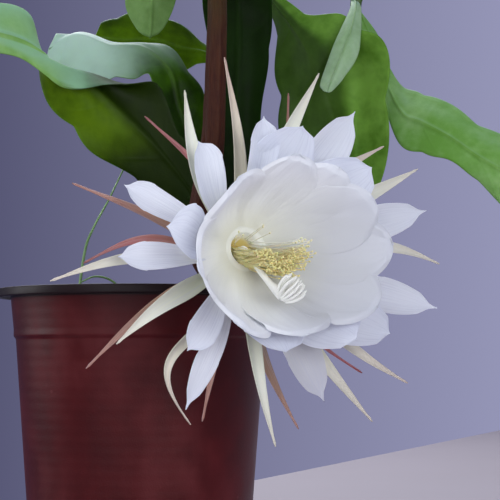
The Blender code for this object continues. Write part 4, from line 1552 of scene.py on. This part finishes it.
@dataclass
class Stamens:
    """Many thin filaments that spring from the throat and end in small anthers.

    The long ones lean to the lower side and end along an arc, and a few short ones ring the throat.
    Their places, and how much those scatter, are in millimetres from the middle of the flower's base.
    """

    count: int = 400
    short: int = 6
    throat: Row = (1.5, 4.0)
    throat_radius: float = 7.6
    arc: Row = (11, 3.0)
    arc_radius: float = 14.5
    arc_start: float = math.radians(192)
    arc_end: float = math.radians(390)
    arc_spread: float = 2.8
    root_height: Row = (-7.0, 5.0)
    out: float = 36.0
    out_spread: float = 3.2
    sag: Row = (-4.5, -0.5)
    rim_height: float = 6.0
    short_radius: float = 14.0
    short_height: Row = (19.0, 27.0)
    filament: float = 0.24 * MM
    anther: float = 0.62 * MM
    anther_length: float = 1.8 * MM
    seed: int = 31
    finish: GrainSkin = GrainSkin("filament_skin", srgb(252, 251, 240), srgb(244, 228, 164))
    anther_finish: GrainSkin = GrainSkin("anther_skin", srgb(253, 248, 210), srgb(246, 234, 164),
                                         fineness=1500.0, glow=0.1)

    def paths(self) -> Array:
        """The filaments' lines.

        A long one runs from the throat's wall to a place on the arc: both turns grow alike from first to
        last, with a random part. A short one rises from the throat's rim and leans outwards. Each line is
        a quadratic curve whose middle is drawn down.

        Returns:
            Points as right, up and out in millimetres, of shape (filaments, places, 3).
        """
        draw = np.random.default_rng(self.seed)
        long = np.arange(self.count + self.short) < self.count
        share = np.where(long, draw.beta(1.0, 2.0, long.size), draw.uniform(0, 1, long.size))
        turn = self.arc_start + share * (self.arc_end - self.arc_start)
        turn = np.where(long, turn, np.radians(20 + 200 * share))
        root = turn + draw.normal(0, 0.5, long.size) * long
        start = np.stack([np.cos(root), np.sin(root)], -1) * self.throat_radius
        start = start * draw.uniform(0.8, 1, (long.size, 1)) + np.array(self.throat)
        low = np.where(long, draw.uniform(*self.root_height, long.size), self.rim_height)
        scatter = draw.normal(0, self.arc_spread, long.size)
        short = self.short_radius + draw.normal(0, 1, long.size)
        radius = np.where(long, self.arc_radius + scatter, short)
        centre = np.where(long[:, None], np.array(self.arc), np.array(self.throat))
        end = centre + np.stack([np.cos(turn), np.sin(turn) * 0.9], -1) * radius[:, None]
        reach = self.out + draw.normal(0, self.out_spread, long.size)
        high = np.where(long, reach, draw.uniform(*self.short_height, long.size))
        first = np.concatenate([start, low[:, None]], 1)
        last = np.concatenate([end, high[:, None]], 1)
        sag = np.where(long, draw.uniform(*self.sag, long.size), 0.0)
        middle = 0.5 * (first + last) + np.stack([0 * sag, sag, -sag * 0.3], -1)
        u = np.linspace(0, 1, 9)[:, None]
        return bend(first[:, None], middle[:, None], last[:, None], u)

    def build(self) -> list[bpy.types.Object]:
        """Make the filaments and the anthers at their ends.

        Returns:
            The pieces.
        """
        path = self.paths() * MM
        draw = np.random.default_rng(self.seed + 1)
        bodies = len(path)
        long = np.arange(bodies) < self.count
        height = (path[:, -1, 1] / MM - self.arc[1]) / self.arc_radius
        tone = np.where(long, 1 - smooth(height, -0.5, 0.6), 0.2)[:, None, None]
        tone = tone + draw.uniform(-0.2, 0.2, (bodies, 1, 1))
        side = AXES.rows()[0] + AXES.rows()[1] * 0.3
        threads = rod(AXES.place(path), np.full(path.shape[1], self.filament), side, 4)
        stamens = Skin().add(threads, tone=tone).make("stamen_filaments", self.finish.paint())
        lean = unit(unit(path[:, -1] - path[:, -2]) + draw.normal(0, 1, (bodies, 3)) * 0.6)
        span = np.linspace(-0.5, 0.5, 6)[:, None]
        line = path[:, -1][:, None] + lean[:, None] * span * self.anther_length
        girth = self.anther * np.sqrt(np.clip(1.04 - (2 * span[:, 0]) ** 2, 0, 1))
        grains = Skin().add(rod(AXES.place(line), girth, side + AXES.rows()[2] * 0.2, 6), tone=tone)
        anthers = grains.make("stamen_anthers", self.anther_finish.paint())
        for piece in (stamens, anthers):
            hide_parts("flower_stamens")
        return [stamens, anthers]


@dataclass
class Style:
    """The pale style that leans out of the throat along the bowl's floor, and its many-fingered stigma."""

    route: list[Row]
    way: Row = (6.0, 8.5, 10.0)
    radius: float = 1.9 * MM
    lobes: int = 20
    lobe_length: float = 13.5 * MM
    lobe_radius: float = 0.85 * MM
    spread: float = 0.6
    base: float = 3.6 * MM
    finish: GrainSkin = GrainSkin("style_skin", srgb(252, 252, 246), srgb(236, 236, 224),
                                  fineness=500.0, glow=0.0)

    def build(self) -> list[bpy.types.Object]:
        """Make the style and the fingers.

        The fingers leave the style's end on a golden-angle spiral, the outer ones spreading the most, and
        each curves outwards and back towards the stigma's own direction.

        Returns:
            The pieces.
        """
        at = np.linspace(0, 1, 60)
        points = through(np.array(self.route) * MM, at)
        side = AXES.rows()[0]
        skin = Skin().add(rod(AXES.place(points), self.radius * (1 + smooth(at, 0.75, 1)), side, 18))
        number = np.arange(self.lobes)[:, None]
        turn = number * math.pi * (3 - math.sqrt(5))
        share = np.sqrt((number + 0.5) / self.lobes)
        ahead = unit(np.array(self.way))
        right = unit(np.cross(ahead, Y_AXIS))
        out = np.cos(turn) * right + np.sin(turn) * np.cross(ahead, right)
        tip = points[-1]
        start = tip + out * share * self.base - ahead * 1.5 * MM
        middle = tip + (ahead * 0.3 + out * 0.66 * share) * self.lobe_length
        end = tip + (ahead * (1.0 - 0.18 * share ** 2) + out * self.spread * share) * self.lobe_length
        u = np.linspace(0, 1, 14)[:, None]
        path = bend(start[:, None], middle[:, None], end[:, None], u)
        girth = self.lobe_radius * np.sqrt(np.clip((1.03 - u[:, 0]) / 0.2, 0, 1))
        skin.add(rod(AXES.place(path), girth, AXES.rows()[1] + AXES.rows()[0] * 0.4, 10))
        piece = skin.make("style_and_stigma", self.finish.paint())
        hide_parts("flower_style")
        return [piece]


@dataclass(frozen=True)
class Lamp:
    """A square soft light that faces the flower: place, size and aim in metres, power in watts."""

    name: str
    place: Row
    size: float
    power: float
    colour: Colour
    aim: Row = (0.06, -0.1, 0.22)

    def build(self) -> None:
        """Hang the lamp."""
        data = bpy.data.lights.new(self.name, "AREA")
        data.size = self.size
        data.energy = self.power
        data.color = self.colour
        lamp = bpy.data.objects.new(self.name, data)
        way = np.array(self.aim) - np.array(self.place)
        lamp.location = self.place
        lamp.rotation_mode = "QUATERNION"
        lamp.rotation_quaternion = Vector(way).to_track_quat("-Z", "Y")
        bpy.context.scene.collection.objects.link(lamp)


@dataclass
class Studio:
    """The camera at the photograph's angle, soft lights, a plain lavender-grey surround, a pale floor."""

    camera_place: Row = (0.076, -1.050, 0.141)
    camera_rise: float = 4.04
    lens: float = 108.0
    surround_left: Colour = srgb(78, 78, 108)
    surround_right: Colour = srgb(153, 154, 187)
    surround_front: Colour = srgb(92, 92, 104)
    floor_edge_near: Row = (0.082, 0.67)
    floor_edge_far: Row = (0.556, 1.83)
    floor_reach: float = 3.2
    lamps: tuple[Lamp, ...] = (
        Lamp("key", (-0.8, -1.3, 1.4), 1.3, 9.0, (0.94, 0.97, 1.0)),
        Lamp("front", (0.85, -1.55, 0.2), 1.2, 18.0, (0.94, 0.97, 1.0)),
        Lamp("low", (-0.5, -1.6, 0.0), 1.2, 10.0, (0.94, 0.97, 1.0)),
        Lamp("back", (-0.2, 1.3, 1.7), 1.5, 34.0, (0.95, 0.97, 1.0)),
        Lamp("side", (-1.7, 0.1, 0.5), 1.0, 10.0, (0.95, 0.97, 1.0)),
    )

    def build(self) -> None:
        """Set up everything round the plant."""
        self._camera()
        self._surround()
        self._floor()
        for lamp in self.lamps:
            lamp.build()
        bpy.context.scene.view_settings.view_transform = "Standard"

    def _camera(self) -> None:
        """A long lens a metre in front, lifted by a few degrees."""
        data = bpy.data.cameras.new("camera")
        data.lens = self.lens
        camera = bpy.data.objects.new("camera", data)
        camera.location = self.camera_place
        camera.rotation_euler = (math.radians(90 + self.camera_rise), 0, 0)
        bpy.context.scene.collection.objects.link(camera)
        bpy.context.scene.camera = camera

    def _surround(self) -> None:
        """Even light from all round: a little darker to the left, and darker still in front."""
        world = bpy.data.worlds.new("surround")
        bpy.context.scene.world = world
        world.use_nodes = True
        tree = world.node_tree
        where = tree.nodes.new("ShaderNodeTexCoord")
        split = tree.nodes.new("ShaderNodeSeparateXYZ")
        tree.links.new(where.outputs["Generated"], split.inputs[0])
        left, right = self.surround_left, self.surround_right
        sideways = self._blend(tree, split.outputs[0], (-0.2, 0.2), left, right)
        depth = self._blend(tree, split.outputs[1], (-0.4, 0.5), self.surround_front, sideways)
        tree.links.new(depth, tree.nodes["Background"].inputs["Color"])

    @staticmethod
    def _blend(tree: bpy.types.NodeTree, share: bpy.types.NodeSocket, reach: Row, low: Colour,
               high: Colour | bpy.types.NodeSocket) -> bpy.types.NodeSocket:
        """Blend from one colour to another as a number grows.

        Args:
            tree: The world's nodes.
            share: The number.
            reach: Where the blend starts and ends.
            low: The colour at the start.
            high: The colour at the end, or a socket that gives it.

        Returns:
            The colour.
        """
        spread = tree.nodes.new("ShaderNodeMapRange")
        spread.inputs["From Min"].default_value, spread.inputs["From Max"].default_value = reach
        blend = tree.nodes.new("ShaderNodeMix")
        blend.data_type = "RGBA"
        blend.inputs[6].default_value = (*low, 1)
        if isinstance(high, bpy.types.NodeSocket):
            tree.links.new(high, blend.inputs[7])
        else:
            blend.inputs[7].default_value = (*high, 1)
        tree.links.new(share, spread.inputs[0])
        tree.links.new(spread.outputs[0], blend.inputs[0])
        return blend.outputs[2]

    def _floor(self) -> None:
        """A table top whose far edge slants away behind the pot."""
        near, far = np.array(self.floor_edge_near), np.array(self.floor_edge_far)
        ahead = (far - near) / np.linalg.norm(far - near)
        right = np.array([ahead[1], -ahead[0]])
        corners = [near - ahead * self.floor_reach, near + ahead * self.floor_reach]
        corners += [corner + right * self.floor_reach for corner in corners[::-1]]
        mesh = bpy.data.meshes.new("floor")
        mesh.from_pydata([(*corner, 0.0) for corner in corners], [], [(3, 2, 1, 0)])
        mesh.materials.append(FloorFinish().paint())
        floor = bpy.data.objects.new("floor", mesh)
        bpy.context.scene.collection.objects.link(floor)


# The plant's routes and stations, in millimetres, as the solids have them.
CANE_ROUTE = [
    (50, 42, 108), (51, 42, 165), (58, 44, 210), (70, 46, 262), (76, 45, 310), (79, 42, 360),
    (81, 38, 410), (85, 36, 450), (98, 32, 481), (123, 27, 493), (147, 22, 477), (158, 19, 438),
    (154, 17, 405), (152, 17, 390),
]
SHOOT_TALL = [(-40, -52, 120), (-39, -51, 170), (-35, -46, 210), (-30, -36, 228), (-22, -18, 248),
              (-15, 6, 270), (-8, 14, 286)]
SHOOT_LOW = [(-2, -56, 125), (-4, -58, 165), (-9, -60, 183), (-16, -62, 191), (-26, -66, 193),
             (-35, -69, 189)]
LEAF_CENTRE = [
    [(63, 0, 180), (66, -2, 180), (70, 0, 180)],
    [(56, -2, 222), (68, -6, 222), (80, -2, 222)],
    [(51, -6, 271), (67, -10, 270), (84, -6, 271)],
    [(48, -10, 316), (67, -16, 315), (84, -10, 316)],
    [(45, -14, 354), (68, -18, 354), (93, -12, 356)],
    [(43, -18, 389), (68, -22, 388), (91, -16, 386)],
    [(46, -34, 413), (69, -38, 415), (90, -30, 413)],
    [(50, -75, 417), (69, -78, 419), (87, -72, 416)],
    [(56, -120, 404), (70, -124, 403), (81, -118, 402)],
    [(67, -152, 383), (70, -154, 382), (73, -152, 383)],
]
LEAF_LEFT_FRONT = [
    [(43, 4, 228), (44, 3, 230), (46, 2, 232), (47, 1, 234)],
    [(18, 2, 242), (30, 0, 253), (35, -1, 263), (41, -2, 274)],
    [(-15, -10, 269), (5, -8, 279), (16, -6, 292), (24, -8, 306)],
    [(-39, -20, 286), (-20, -18, 297), (-5, -12, 317), (8, -14, 333)],
    [(-56, -28, 304), (-38, -30, 315), (-29, -24, 333), (-20, -36, 326)],
    [(-68, -34, 328), (-56, -44, 330), (-51, -46, 337), (-50, -54, 320)],
    [(-73, -46, 372), (-75, -54, 357), (-76, -60, 346), (-78, -64, 339)],
    [(-107, -66, 376), (-106, -72, 361), (-105, -76, 350), (-104, -80, 341)],
    [(-126, -80, 358), (-128, -82, 354), (-127, -84, 349), (-125, -86, 345)],
]
LEAF_LEFT_REAR = [
    [(47, 32, 235), (48, 32, 236), (50, 32, 238)],
    [(28, 24, 275), (38, 30, 283), (48, 34, 291)],
    [(11, 16, 317), (25, 26, 320), (44, 32, 324)],
    [(3, 6, 340), (18, 22, 346), (35, 34, 345)],
    [(-7, -2, 336), (-2, 16, 361), (16, 32, 367)],
    [(-26, -10, 331), (-25, 4, 360), (-20, 24, 367)],
    [(-48, -14, 328), (-47, -4, 365), (-43, 14, 371)],
    [(-67, -18, 339), (-65, -12, 355), (-61, -4, 368)],
]
LEAF_RIGHT = [
    [(80, 38, 409), (81, 37, 411), (82, 37, 413), (83, 36, 415), (84, 36, 417)],
    [(93, 30, 386), (95, 28, 389), (98, 26, 392), (101, 24, 395), (104, 22, 397)],
    [(94, 26, 367), (101, 22, 371), (108, 18, 376), (114, 15, 381), (121, 12, 386)],
    [(94, 22, 340), (106, 20, 348), (119, 10, 356), (132, 4, 368), (143, 0, 383)],
    [(95, 18, 312), (110, 18, 322), (127, 6, 330), (148, 12, 351), (166, -4, 371)],
    [(102, 14, 281), (118, 16, 291), (136, 4, 302), (152, 16, 321), (176, -2, 341)],
    [(110, 14, 255), (123, 14, 259), (138, 6, 268), (153, 16, 281), (175, 0, 299)],
    [(120, 12, 236), (130, 12, 237), (141, 8, 241), (153, 12, 247), (168, 4, 257)],
    [(138, 12, 225), (141, 12, 223), (143, 12, 222), (146, 12, 223), (148, 12, 225)],
]
LEAF_YOUNG = [
    [(149, 16, 396), (151, 16, 396), (153, 16, 396)],
    [(147, 2, 387), (151, 1, 388), (155, 2, 387)],
    [(139, -8, 369), (146, -12, 368), (154, -8, 364)],
    [(131, -12, 348), (140, -17, 350), (150, -12, 348)],
    [(125, -14, 331), (133, -19, 333), (142, -14, 335)],
    [(127, -16, 325), (130, -17, 324), (133, -16, 325)],
]
LEAF_FAR_RIGHT = [
    [(151, 16, 395), (152, 17, 393), (153, 18, 391)],
    [(168, 34, 377), (165, 30, 366), (160, 28, 357)],
    [(178, 36, 355), (174, 28, 339), (171, 24, 326)],
    [(188, 30, 336), (186, 18, 314), (182, 12, 293)],
    [(201, 18, 332), (199, 6, 305), (197, -2, 281)],
    [(218, 6, 320), (216, -8, 293), (215, -12, 277)],
    [(236, -4, 307), (234, -20, 278), (234, -16, 260)],
    [(260, -16, 289), (257, -32, 262), (255, -28, 239)],
    [(280, -28, 263), (279, -38, 246), (276, -38, 232)],
    [(289, -44, 231), (290, -46, 228), (288, -46, 225)],
]
LEAF_BACK_LEFT = [
    [(77, 44, 347), (77, 44, 350), (77, 44, 353)],
    [(46, 62, 360), (45, 60, 367), (48, 62, 371)],
    [(24, 66, 354), (26, 58, 370), (28, 64, 387)],
    [(1, 62, 356), (3, 54, 376), (5, 60, 397)],
    [(-22, 54, 359), (-20, 46, 374), (-17, 52, 396)],
    [(-41, 42, 367), (-38, 38, 374), (-34, 42, 386)],
]
LEAF_TIP_LEFT = [
    [(85, 36, 446), (85, 36, 449), (85, 36, 452)],
    [(54, 20, 466), (55, 16, 471), (57, 20, 477)],
    [(26, -4, 444), (34, -10, 451), (40, -4, 460)],
    [(0, -18, 416), (14, -26, 416), (27, -18, 420)],
    [(-10, -26, 387), (9, -34, 388), (25, -26, 390)],
    [(-3, -30, 366), (8, -34, 364), (18, -30, 368)],
    [(5, -32, 361), (7, -33, 360), (10, -32, 361)],
]
FOOT_CENTRE = [(64, -1, 108), (64, -1, 165), (66, -2, 182), (68, -6, 222), (67, -10, 262)]
FOOT_LEFT_FRONT = [(43, 4, 108), (43, 4, 170), (43, 4, 215), (44, 3, 233), (33, 0, 253)]
FOOT_LEFT_REAR = [(42, 26, 108), (42, 26, 165), (45, 29, 205), (48, 32, 237), (39, 30, 280)]
TUBE_ROUTE = [(52, -88, 411), (53, -92, 394), (55, -97, 370), (54, -98, 320), (52, -99, 275),
              (47, -103, 240), (45.5, -110, 216), (50, -120, 201), (56, -129.3, 198.5)]
TUBE_RADII = [3.4, 5.6, 6.0, 6.6, 7.4, 8.6, 9.6, 10.3, 10.7]
TUBE_SCALES = [(0.16, 100), (0.27, 20), (0.38, 150), (0.5, 60), (0.6, 190), (0.7, 110)]
STYLE_ROUTE = [(1.5, 4.5, 2.4), (1.5, 3.4, 8), (0.8, -6, 20), (2, -19.5, 35), (6, -27, 43)]

# Each row is one petal. Turns are about the axis in degrees, 0 right and 90 up, and lengths are in
# millimetres. The inner petals: turn, reach, rise, width, and lift off the bowl.
INNER_PETALS = [
    (191, 58, 60, 58, 0.6), (136, 47.5, 66, 52, 0.4), (82, 48, 68, 44, -0.4), (52, 51, 64, 40, -1.2),
    (27, 66, 62, 46, 0.8), (2, 75, 59, 44, -0.4), (331, 66, 59, 50, -0.4), (284, 50, 57, 48, 1.2),
    (238, 54, 60, 50, -0.4),
]
# The others: turn, reach from the axis, height of the tip along it, width, sideways bow, how late the bow
# comes, and how strong the colour is, which is a deeper tint on the cream and rose tepals and painted
# shade on the white petals. The outer petals reach past the bowl, the back petals lie close behind it,
# and the spoon petals have blunt ends.
OUTER_PETALS = [
    (347, 135, 22, 21, -3, 1), (14, 126, 28, 21, 0, 1), (52, 113, 30, 26, 0, 1), (246, 99, 6, 14, 0, 1),
    (299, 100, 16, 24, 0, 1, 0.9),
]
BACK_PETALS = [
    (272, 60, 50, 40, 0, 1), (314, 73, 50, 38, 0, 1), (330, 96, 38, 34, 0, 1), (37, 85, 48, 38, 0, 1),
    (73, 77, 44, 38, 0, 1),
]
SPOON_PETALS = [
    (87, 81, 30, 20, 0, 1), (120, 74, 24, 23, 5, 1), (171, 68, 40, 31, 0, 1), (154, 87, 10, 17, 0, 1),
    (183, 87, 18, 16, 0, 1), (231, 74, 22, 19, 0, 1),
]
CREAM_TEPALS = [
    (63, 132, 6, 12, 6, 1, 0.1), (35, 129, 8, 9, 7, 1, 0.6), (25, 142, 12, 13, 0, 1, 0.1),
    (0, 147, 6, 11, 9, 1.5, 0.2), (328, 144, 0, 9, -6, 1.3, 0.5), (314, 139, -4, 10, -4, 1, 0.3),
    (282, 116, -2, 9, -5, 1.2, 0.0), (252, 104, -4, 8, -26, 2, 0.6), (213, 96, 0, 11, -4, 1.3, 0.1),
    (188, 120, -4, 8, -7, 1.2, 0.3), (108, 105, 0, 12, 11, 1, 0.0), (91, 124, -4, 8, -2, 1, 0.9),
]
ROSE_TEPALS = [
    (66, 118, -12, 6, -12, 1, 0.4), (321, 111, 2, 4, -5, 1.5, 1.0), (295, 114, -14, 8, -6, 1, 0.1),
    (259, 99, -14, 7, 0, 1, 0.3), (215, 114, -14, 7, -6, 1, 0.3), (183, 95, -12, 6, -13, 1.1, 0.8),
    (157, 108, -16, 6, -2, 1, 0.35), (121, 100, -16, 6, -13, 0.8, 0.9),
]

# Its second ramp is painted shade, laid on the outer petal whose tone is high.
PETAL_WHITE = TepalSkin(
    "petal_skin",
    pale=((0.0, srgb(232, 234, 216)), (0.2, srgb(238, 240, 238)), (0.4, srgb(238, 241, 252)),
          (1.0, srgb(232, 237, 255))),
    strong=((0.0, srgb(206, 206, 196)), (1.0, srgb(196, 196, 216))),
    # The grey-lilac vein lines are partly real veins and partly painted shade in the petals' pleats.
    back=srgb(226, 231, 248), vein=srgb(186, 189, 214), vein_share=0.35, vein_count=11.0,
    vein_depth=0.0003, glow=0.35, evenness=0.5,
)
# Its second ramp is painted shade, greyer and darker, laid where the tone is high.
BOWL_WHITE = TepalSkin(
    "bowl_petal_skin",
    pale=((0.0, srgb(244, 244, 226)), (0.25, srgb(250, 251, 246)), (0.6, srgb(251, 252, 255)),
          (1.0, srgb(242, 246, 255))),
    strong=((0.0, srgb(222, 222, 208)), (0.4, srgb(208, 209, 214)), (1.0, srgb(214, 217, 228))),
    back=srgb(232, 236, 248), back_share=0.6, vein_share=0.12, vein_depth=0.0001, glow=0.15,
    evenness=1.05,
)
THROAT_SKIN = TepalSkin(
    "throat_skin",
    pale=((0.0, srgb(216, 186, 90)), (0.45, srgb(236, 216, 136)), (0.62, srgb(246, 242, 216)),
          (0.8, srgb(247, 248, 236))),
    back=srgb(232, 234, 232), vein_depth=0.00012, glow=0.2, evenness=1.3,
)
CREAM = TepalSkin(
    "cream_tepal_skin",
    pale=((0.0, srgb(206, 212, 176)), (0.5, srgb(236, 237, 222)), (1.0, srgb(230, 224, 206))),
    strong=((0.0, srgb(204, 200, 168)), (0.5, srgb(218, 204, 184)), (1.0, srgb(200, 160, 148))),
    back=srgb(206, 196, 172), back_share=0.5, vein_count=4.0, vein_depth=0.00004, glow=0.0,
)
ROSE = TepalSkin(
    "rose_tepal_skin",
    pale=((0.0, srgb(158, 140, 104)), (0.5, srgb(172, 138, 112)), (1.0, srgb(176, 122, 106))),
    strong=((0.0, srgb(160, 104, 92)), (0.5, srgb(182, 96, 100)), (1.0, srgb(120, 40, 44))),
    back=srgb(134, 84, 74), back_share=0.5, vein_count=4.0, vein_depth=0.00008, glow=0.2,
)
# Every leaf material lays painted sheen on what faces up; the front and rear leaves have the most.
LEAF_GREEN = LeafSkin("leaf_skin")
# Painted shade on the foot and one side of the front leaf.
LEAF_FRONT = LeafSkin("front_leaf_skin", under=srgb(98, 132, 14), shade=srgb(58, 86, 6), sheen=0.1,
                      painted_shade_from=(-0.2, 0.1), painted_shade_until=(0.66, 0.56), painted_shade_foot=(0.42, 0.22),
                      painted_shade_share=0.9, painted_sheen=srgb(150, 198, 160), painted_sheen_from=(0.15, 0.45),
                      painted_sheen_after=(0.5, 0.64), painted_sheen_share=0.8)
LEAF_REAR = LeafSkin("rear_leaf_skin", under=srgb(70, 114, 8), upper=srgb(116, 170, 82),
                     painted_sheen=srgb(196, 228, 214),
                     painted_sheen_from=(-0.3, 0.1), painted_sheen_after=(0.4, 0.84), painted_sheen_share=0.85)
# The centre leaf's colours are all darkened: painted shade over its deep green.
LEAF_SHADE_PAINTED = LeafSkin("shade_painted_leaf_skin", upper=srgb(8, 22, 3), bloom=srgb(18, 38, 6), shade=srgb(6, 16, 2),
                     under=srgb(18, 38, 6), vein=srgb(30, 52, 14), sheen=0.04)
# Painted shade on one side of the right leaf.
LEAF_BRIGHT = LeafSkin("bright_leaf_skin", upper=srgb(72, 114, 26), bloom=srgb(120, 166, 66),
                       dark=srgb(22, 44, 3), painted_shade_from=(0.5, 0.2), painted_shade_until=(0.8, 0.6), painted_shade_share=0.75)
# Olive-yellow: the leaf's own green with painted light, standing for light shining through it from behind.
LEAF_OLIVE_PAINTED_BACKLIGHT = LeafSkin("olive_painted_backlight_leaf_skin", upper=srgb(116, 162, 1), bloom=srgb(138, 182, 8),
                      under=srgb(104, 146, 4), shade=srgb(48, 74, 2), lobes=3.5, sheen=0.15)
LEAF_TIP = LeafSkin("tip_leaf_skin", upper=srgb(74, 108, 44), bloom=srgb(118, 154, 90),
                    under=srgb(74, 108, 44), shade=srgb(44, 76, 20), lobes=2.5, painted_sheen_share=0.2,
                    vein_share=0.08)
LEAF_PALE = LeafSkin("pale_leaf_skin", upper=srgb(130, 166, 116), bloom=srgb(170, 200, 164),
                     under=srgb(118, 158, 84), shade=srgb(70, 108, 40), lobes=2.5)


def leaves() -> list[FlatLeaf]:
    """The eight leaves.

    Returns:
        The leaves, not yet built.
    """
    return [
        FlatLeaf("leaf_centre", LEAF_CENTRE, LEAF_SHADE_PAINTED, stalk=FOOT_CENTRE, seed=1),
        FlatLeaf("leaf_left_front", LEAF_LEFT_FRONT, LEAF_FRONT, stalk=FOOT_LEFT_FRONT, seed=2),
        FlatLeaf("leaf_left_rear", LEAF_LEFT_REAR, LEAF_REAR, stalk=FOOT_LEFT_REAR, seed=3),
        FlatLeaf("leaf_right", LEAF_RIGHT, LEAF_BRIGHT, seed=4),
        FlatLeaf("leaf_far_right", LEAF_FAR_RIGHT, LEAF_GREEN, upper_first=False, seed=5),
        FlatLeaf("leaf_young", LEAF_YOUNG, LEAF_PALE, "leaf_pale", lobes=2.5, notch=0.06, seed=6),
        FlatLeaf("leaf_back_left", LEAF_BACK_LEFT, LEAF_OLIVE_PAINTED_BACKLIGHT, lobes=3.5, seed=7),
        FlatLeaf("leaf_tip_left", LEAF_TIP_LEFT, LEAF_TIP, "leaf_pale", lobes=3.5, notch=0.1, seed=8),
    ]


def stems() -> list[Stem]:
    """The old cane and the two thin shoots.

    Returns:
        The stems, not yet built.
    """
    green = StemSkin("stem_skin")
    fresh = StemSkin("shoot_skin", srgb(134, 172, 112), srgb(98, 140, 78))
    return [
        Stem("old_cane", "cane", CANE_ROUTE, 4.3 * MM, 4.3 * MM, green, woody=1.0, knots=9),
        Stem("tall_shoot", "shoot_tall", SHOOT_TALL, 1.2 * MM, 0.5 * MM, fresh, rows=60),
        Stem("low_shoot", "shoot_low", SHOOT_LOW, 1.2 * MM, 0.5 * MM, fresh, rows=50),
    ]


def flower() -> list[TepalWhorl | FlowerTube | Throat | Stamens | Style]:
    """The flower's sub-assemblies, from the tube outwards.

    Returns:
        The flower's sub-assemblies, not yet built.
    """
    rose_ring = [(9.5, -15.7), (11, -15.7), (13, -8.3), (11.2, -8.3), (9.5, -15.7)]
    cream_ring = [(11.6, -8), (13, -8), (15, -1.3), (12.6, -1.3), (11.6, -8)]
    hollow = [(0.3, -6), (7.0, -6), (8.0, -2), (8.8, 4), (9.7, 7.9), (10.9, 8.6)]
    outside = [(20, 9), (19, 7), (15, -1), (11.4, -7), (9.6, -9), (0.3, -9)]
    bowl = Bowl(INNER_PETALS, BOWL_WHITE)
    return [
        FlowerTube(TUBE_ROUTE, TUBE_RADII, TUBE_SCALES),
        TepalWhorl("rose_tepals", "flower_rose_tepals", "tepal_rose", Whorl.ROSE.value, ROSE_TEPALS, ROSE,
                   rose_ring),
        TepalWhorl("cream_tepals", "flower_cream_tepals", "tepal_cream", Whorl.CREAM.value, CREAM_TEPALS,
                   CREAM, cream_ring),
        TepalWhorl("outer_petals", "flower_petals", "petal_white", Whorl.OUTER.value, OUTER_PETALS,
                   PETAL_WHITE),
        TepalWhorl("back_petals", "flower_petals", "petal_white", Whorl.BACK.value, BACK_PETALS,
                   PETAL_WHITE),
        TepalWhorl("spoon_petals", "flower_petals", "petal_white", Whorl.SPOON.value, SPOON_PETALS,
                   PETAL_WHITE),
        bowl,
        Throat(bowl, THROAT_SKIN, hollow, outside),
        Stamens(),
        Style([(1.0, 3.0, -8.0), *STYLE_ROUTE]),
    ]


def main() -> None:
    """Build the plant round the frame."""
    logging.basicConfig(level=logging.INFO, format="%(name)s: %(message)s")
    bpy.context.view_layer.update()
    for assembly in [NurseryPot(), PottingMix(), *stems(), *leaves(), *flower()]:
        for piece in assembly.build():
            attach(piece, "root")
    Studio().build()


if __name__ == "__main__":
    main()
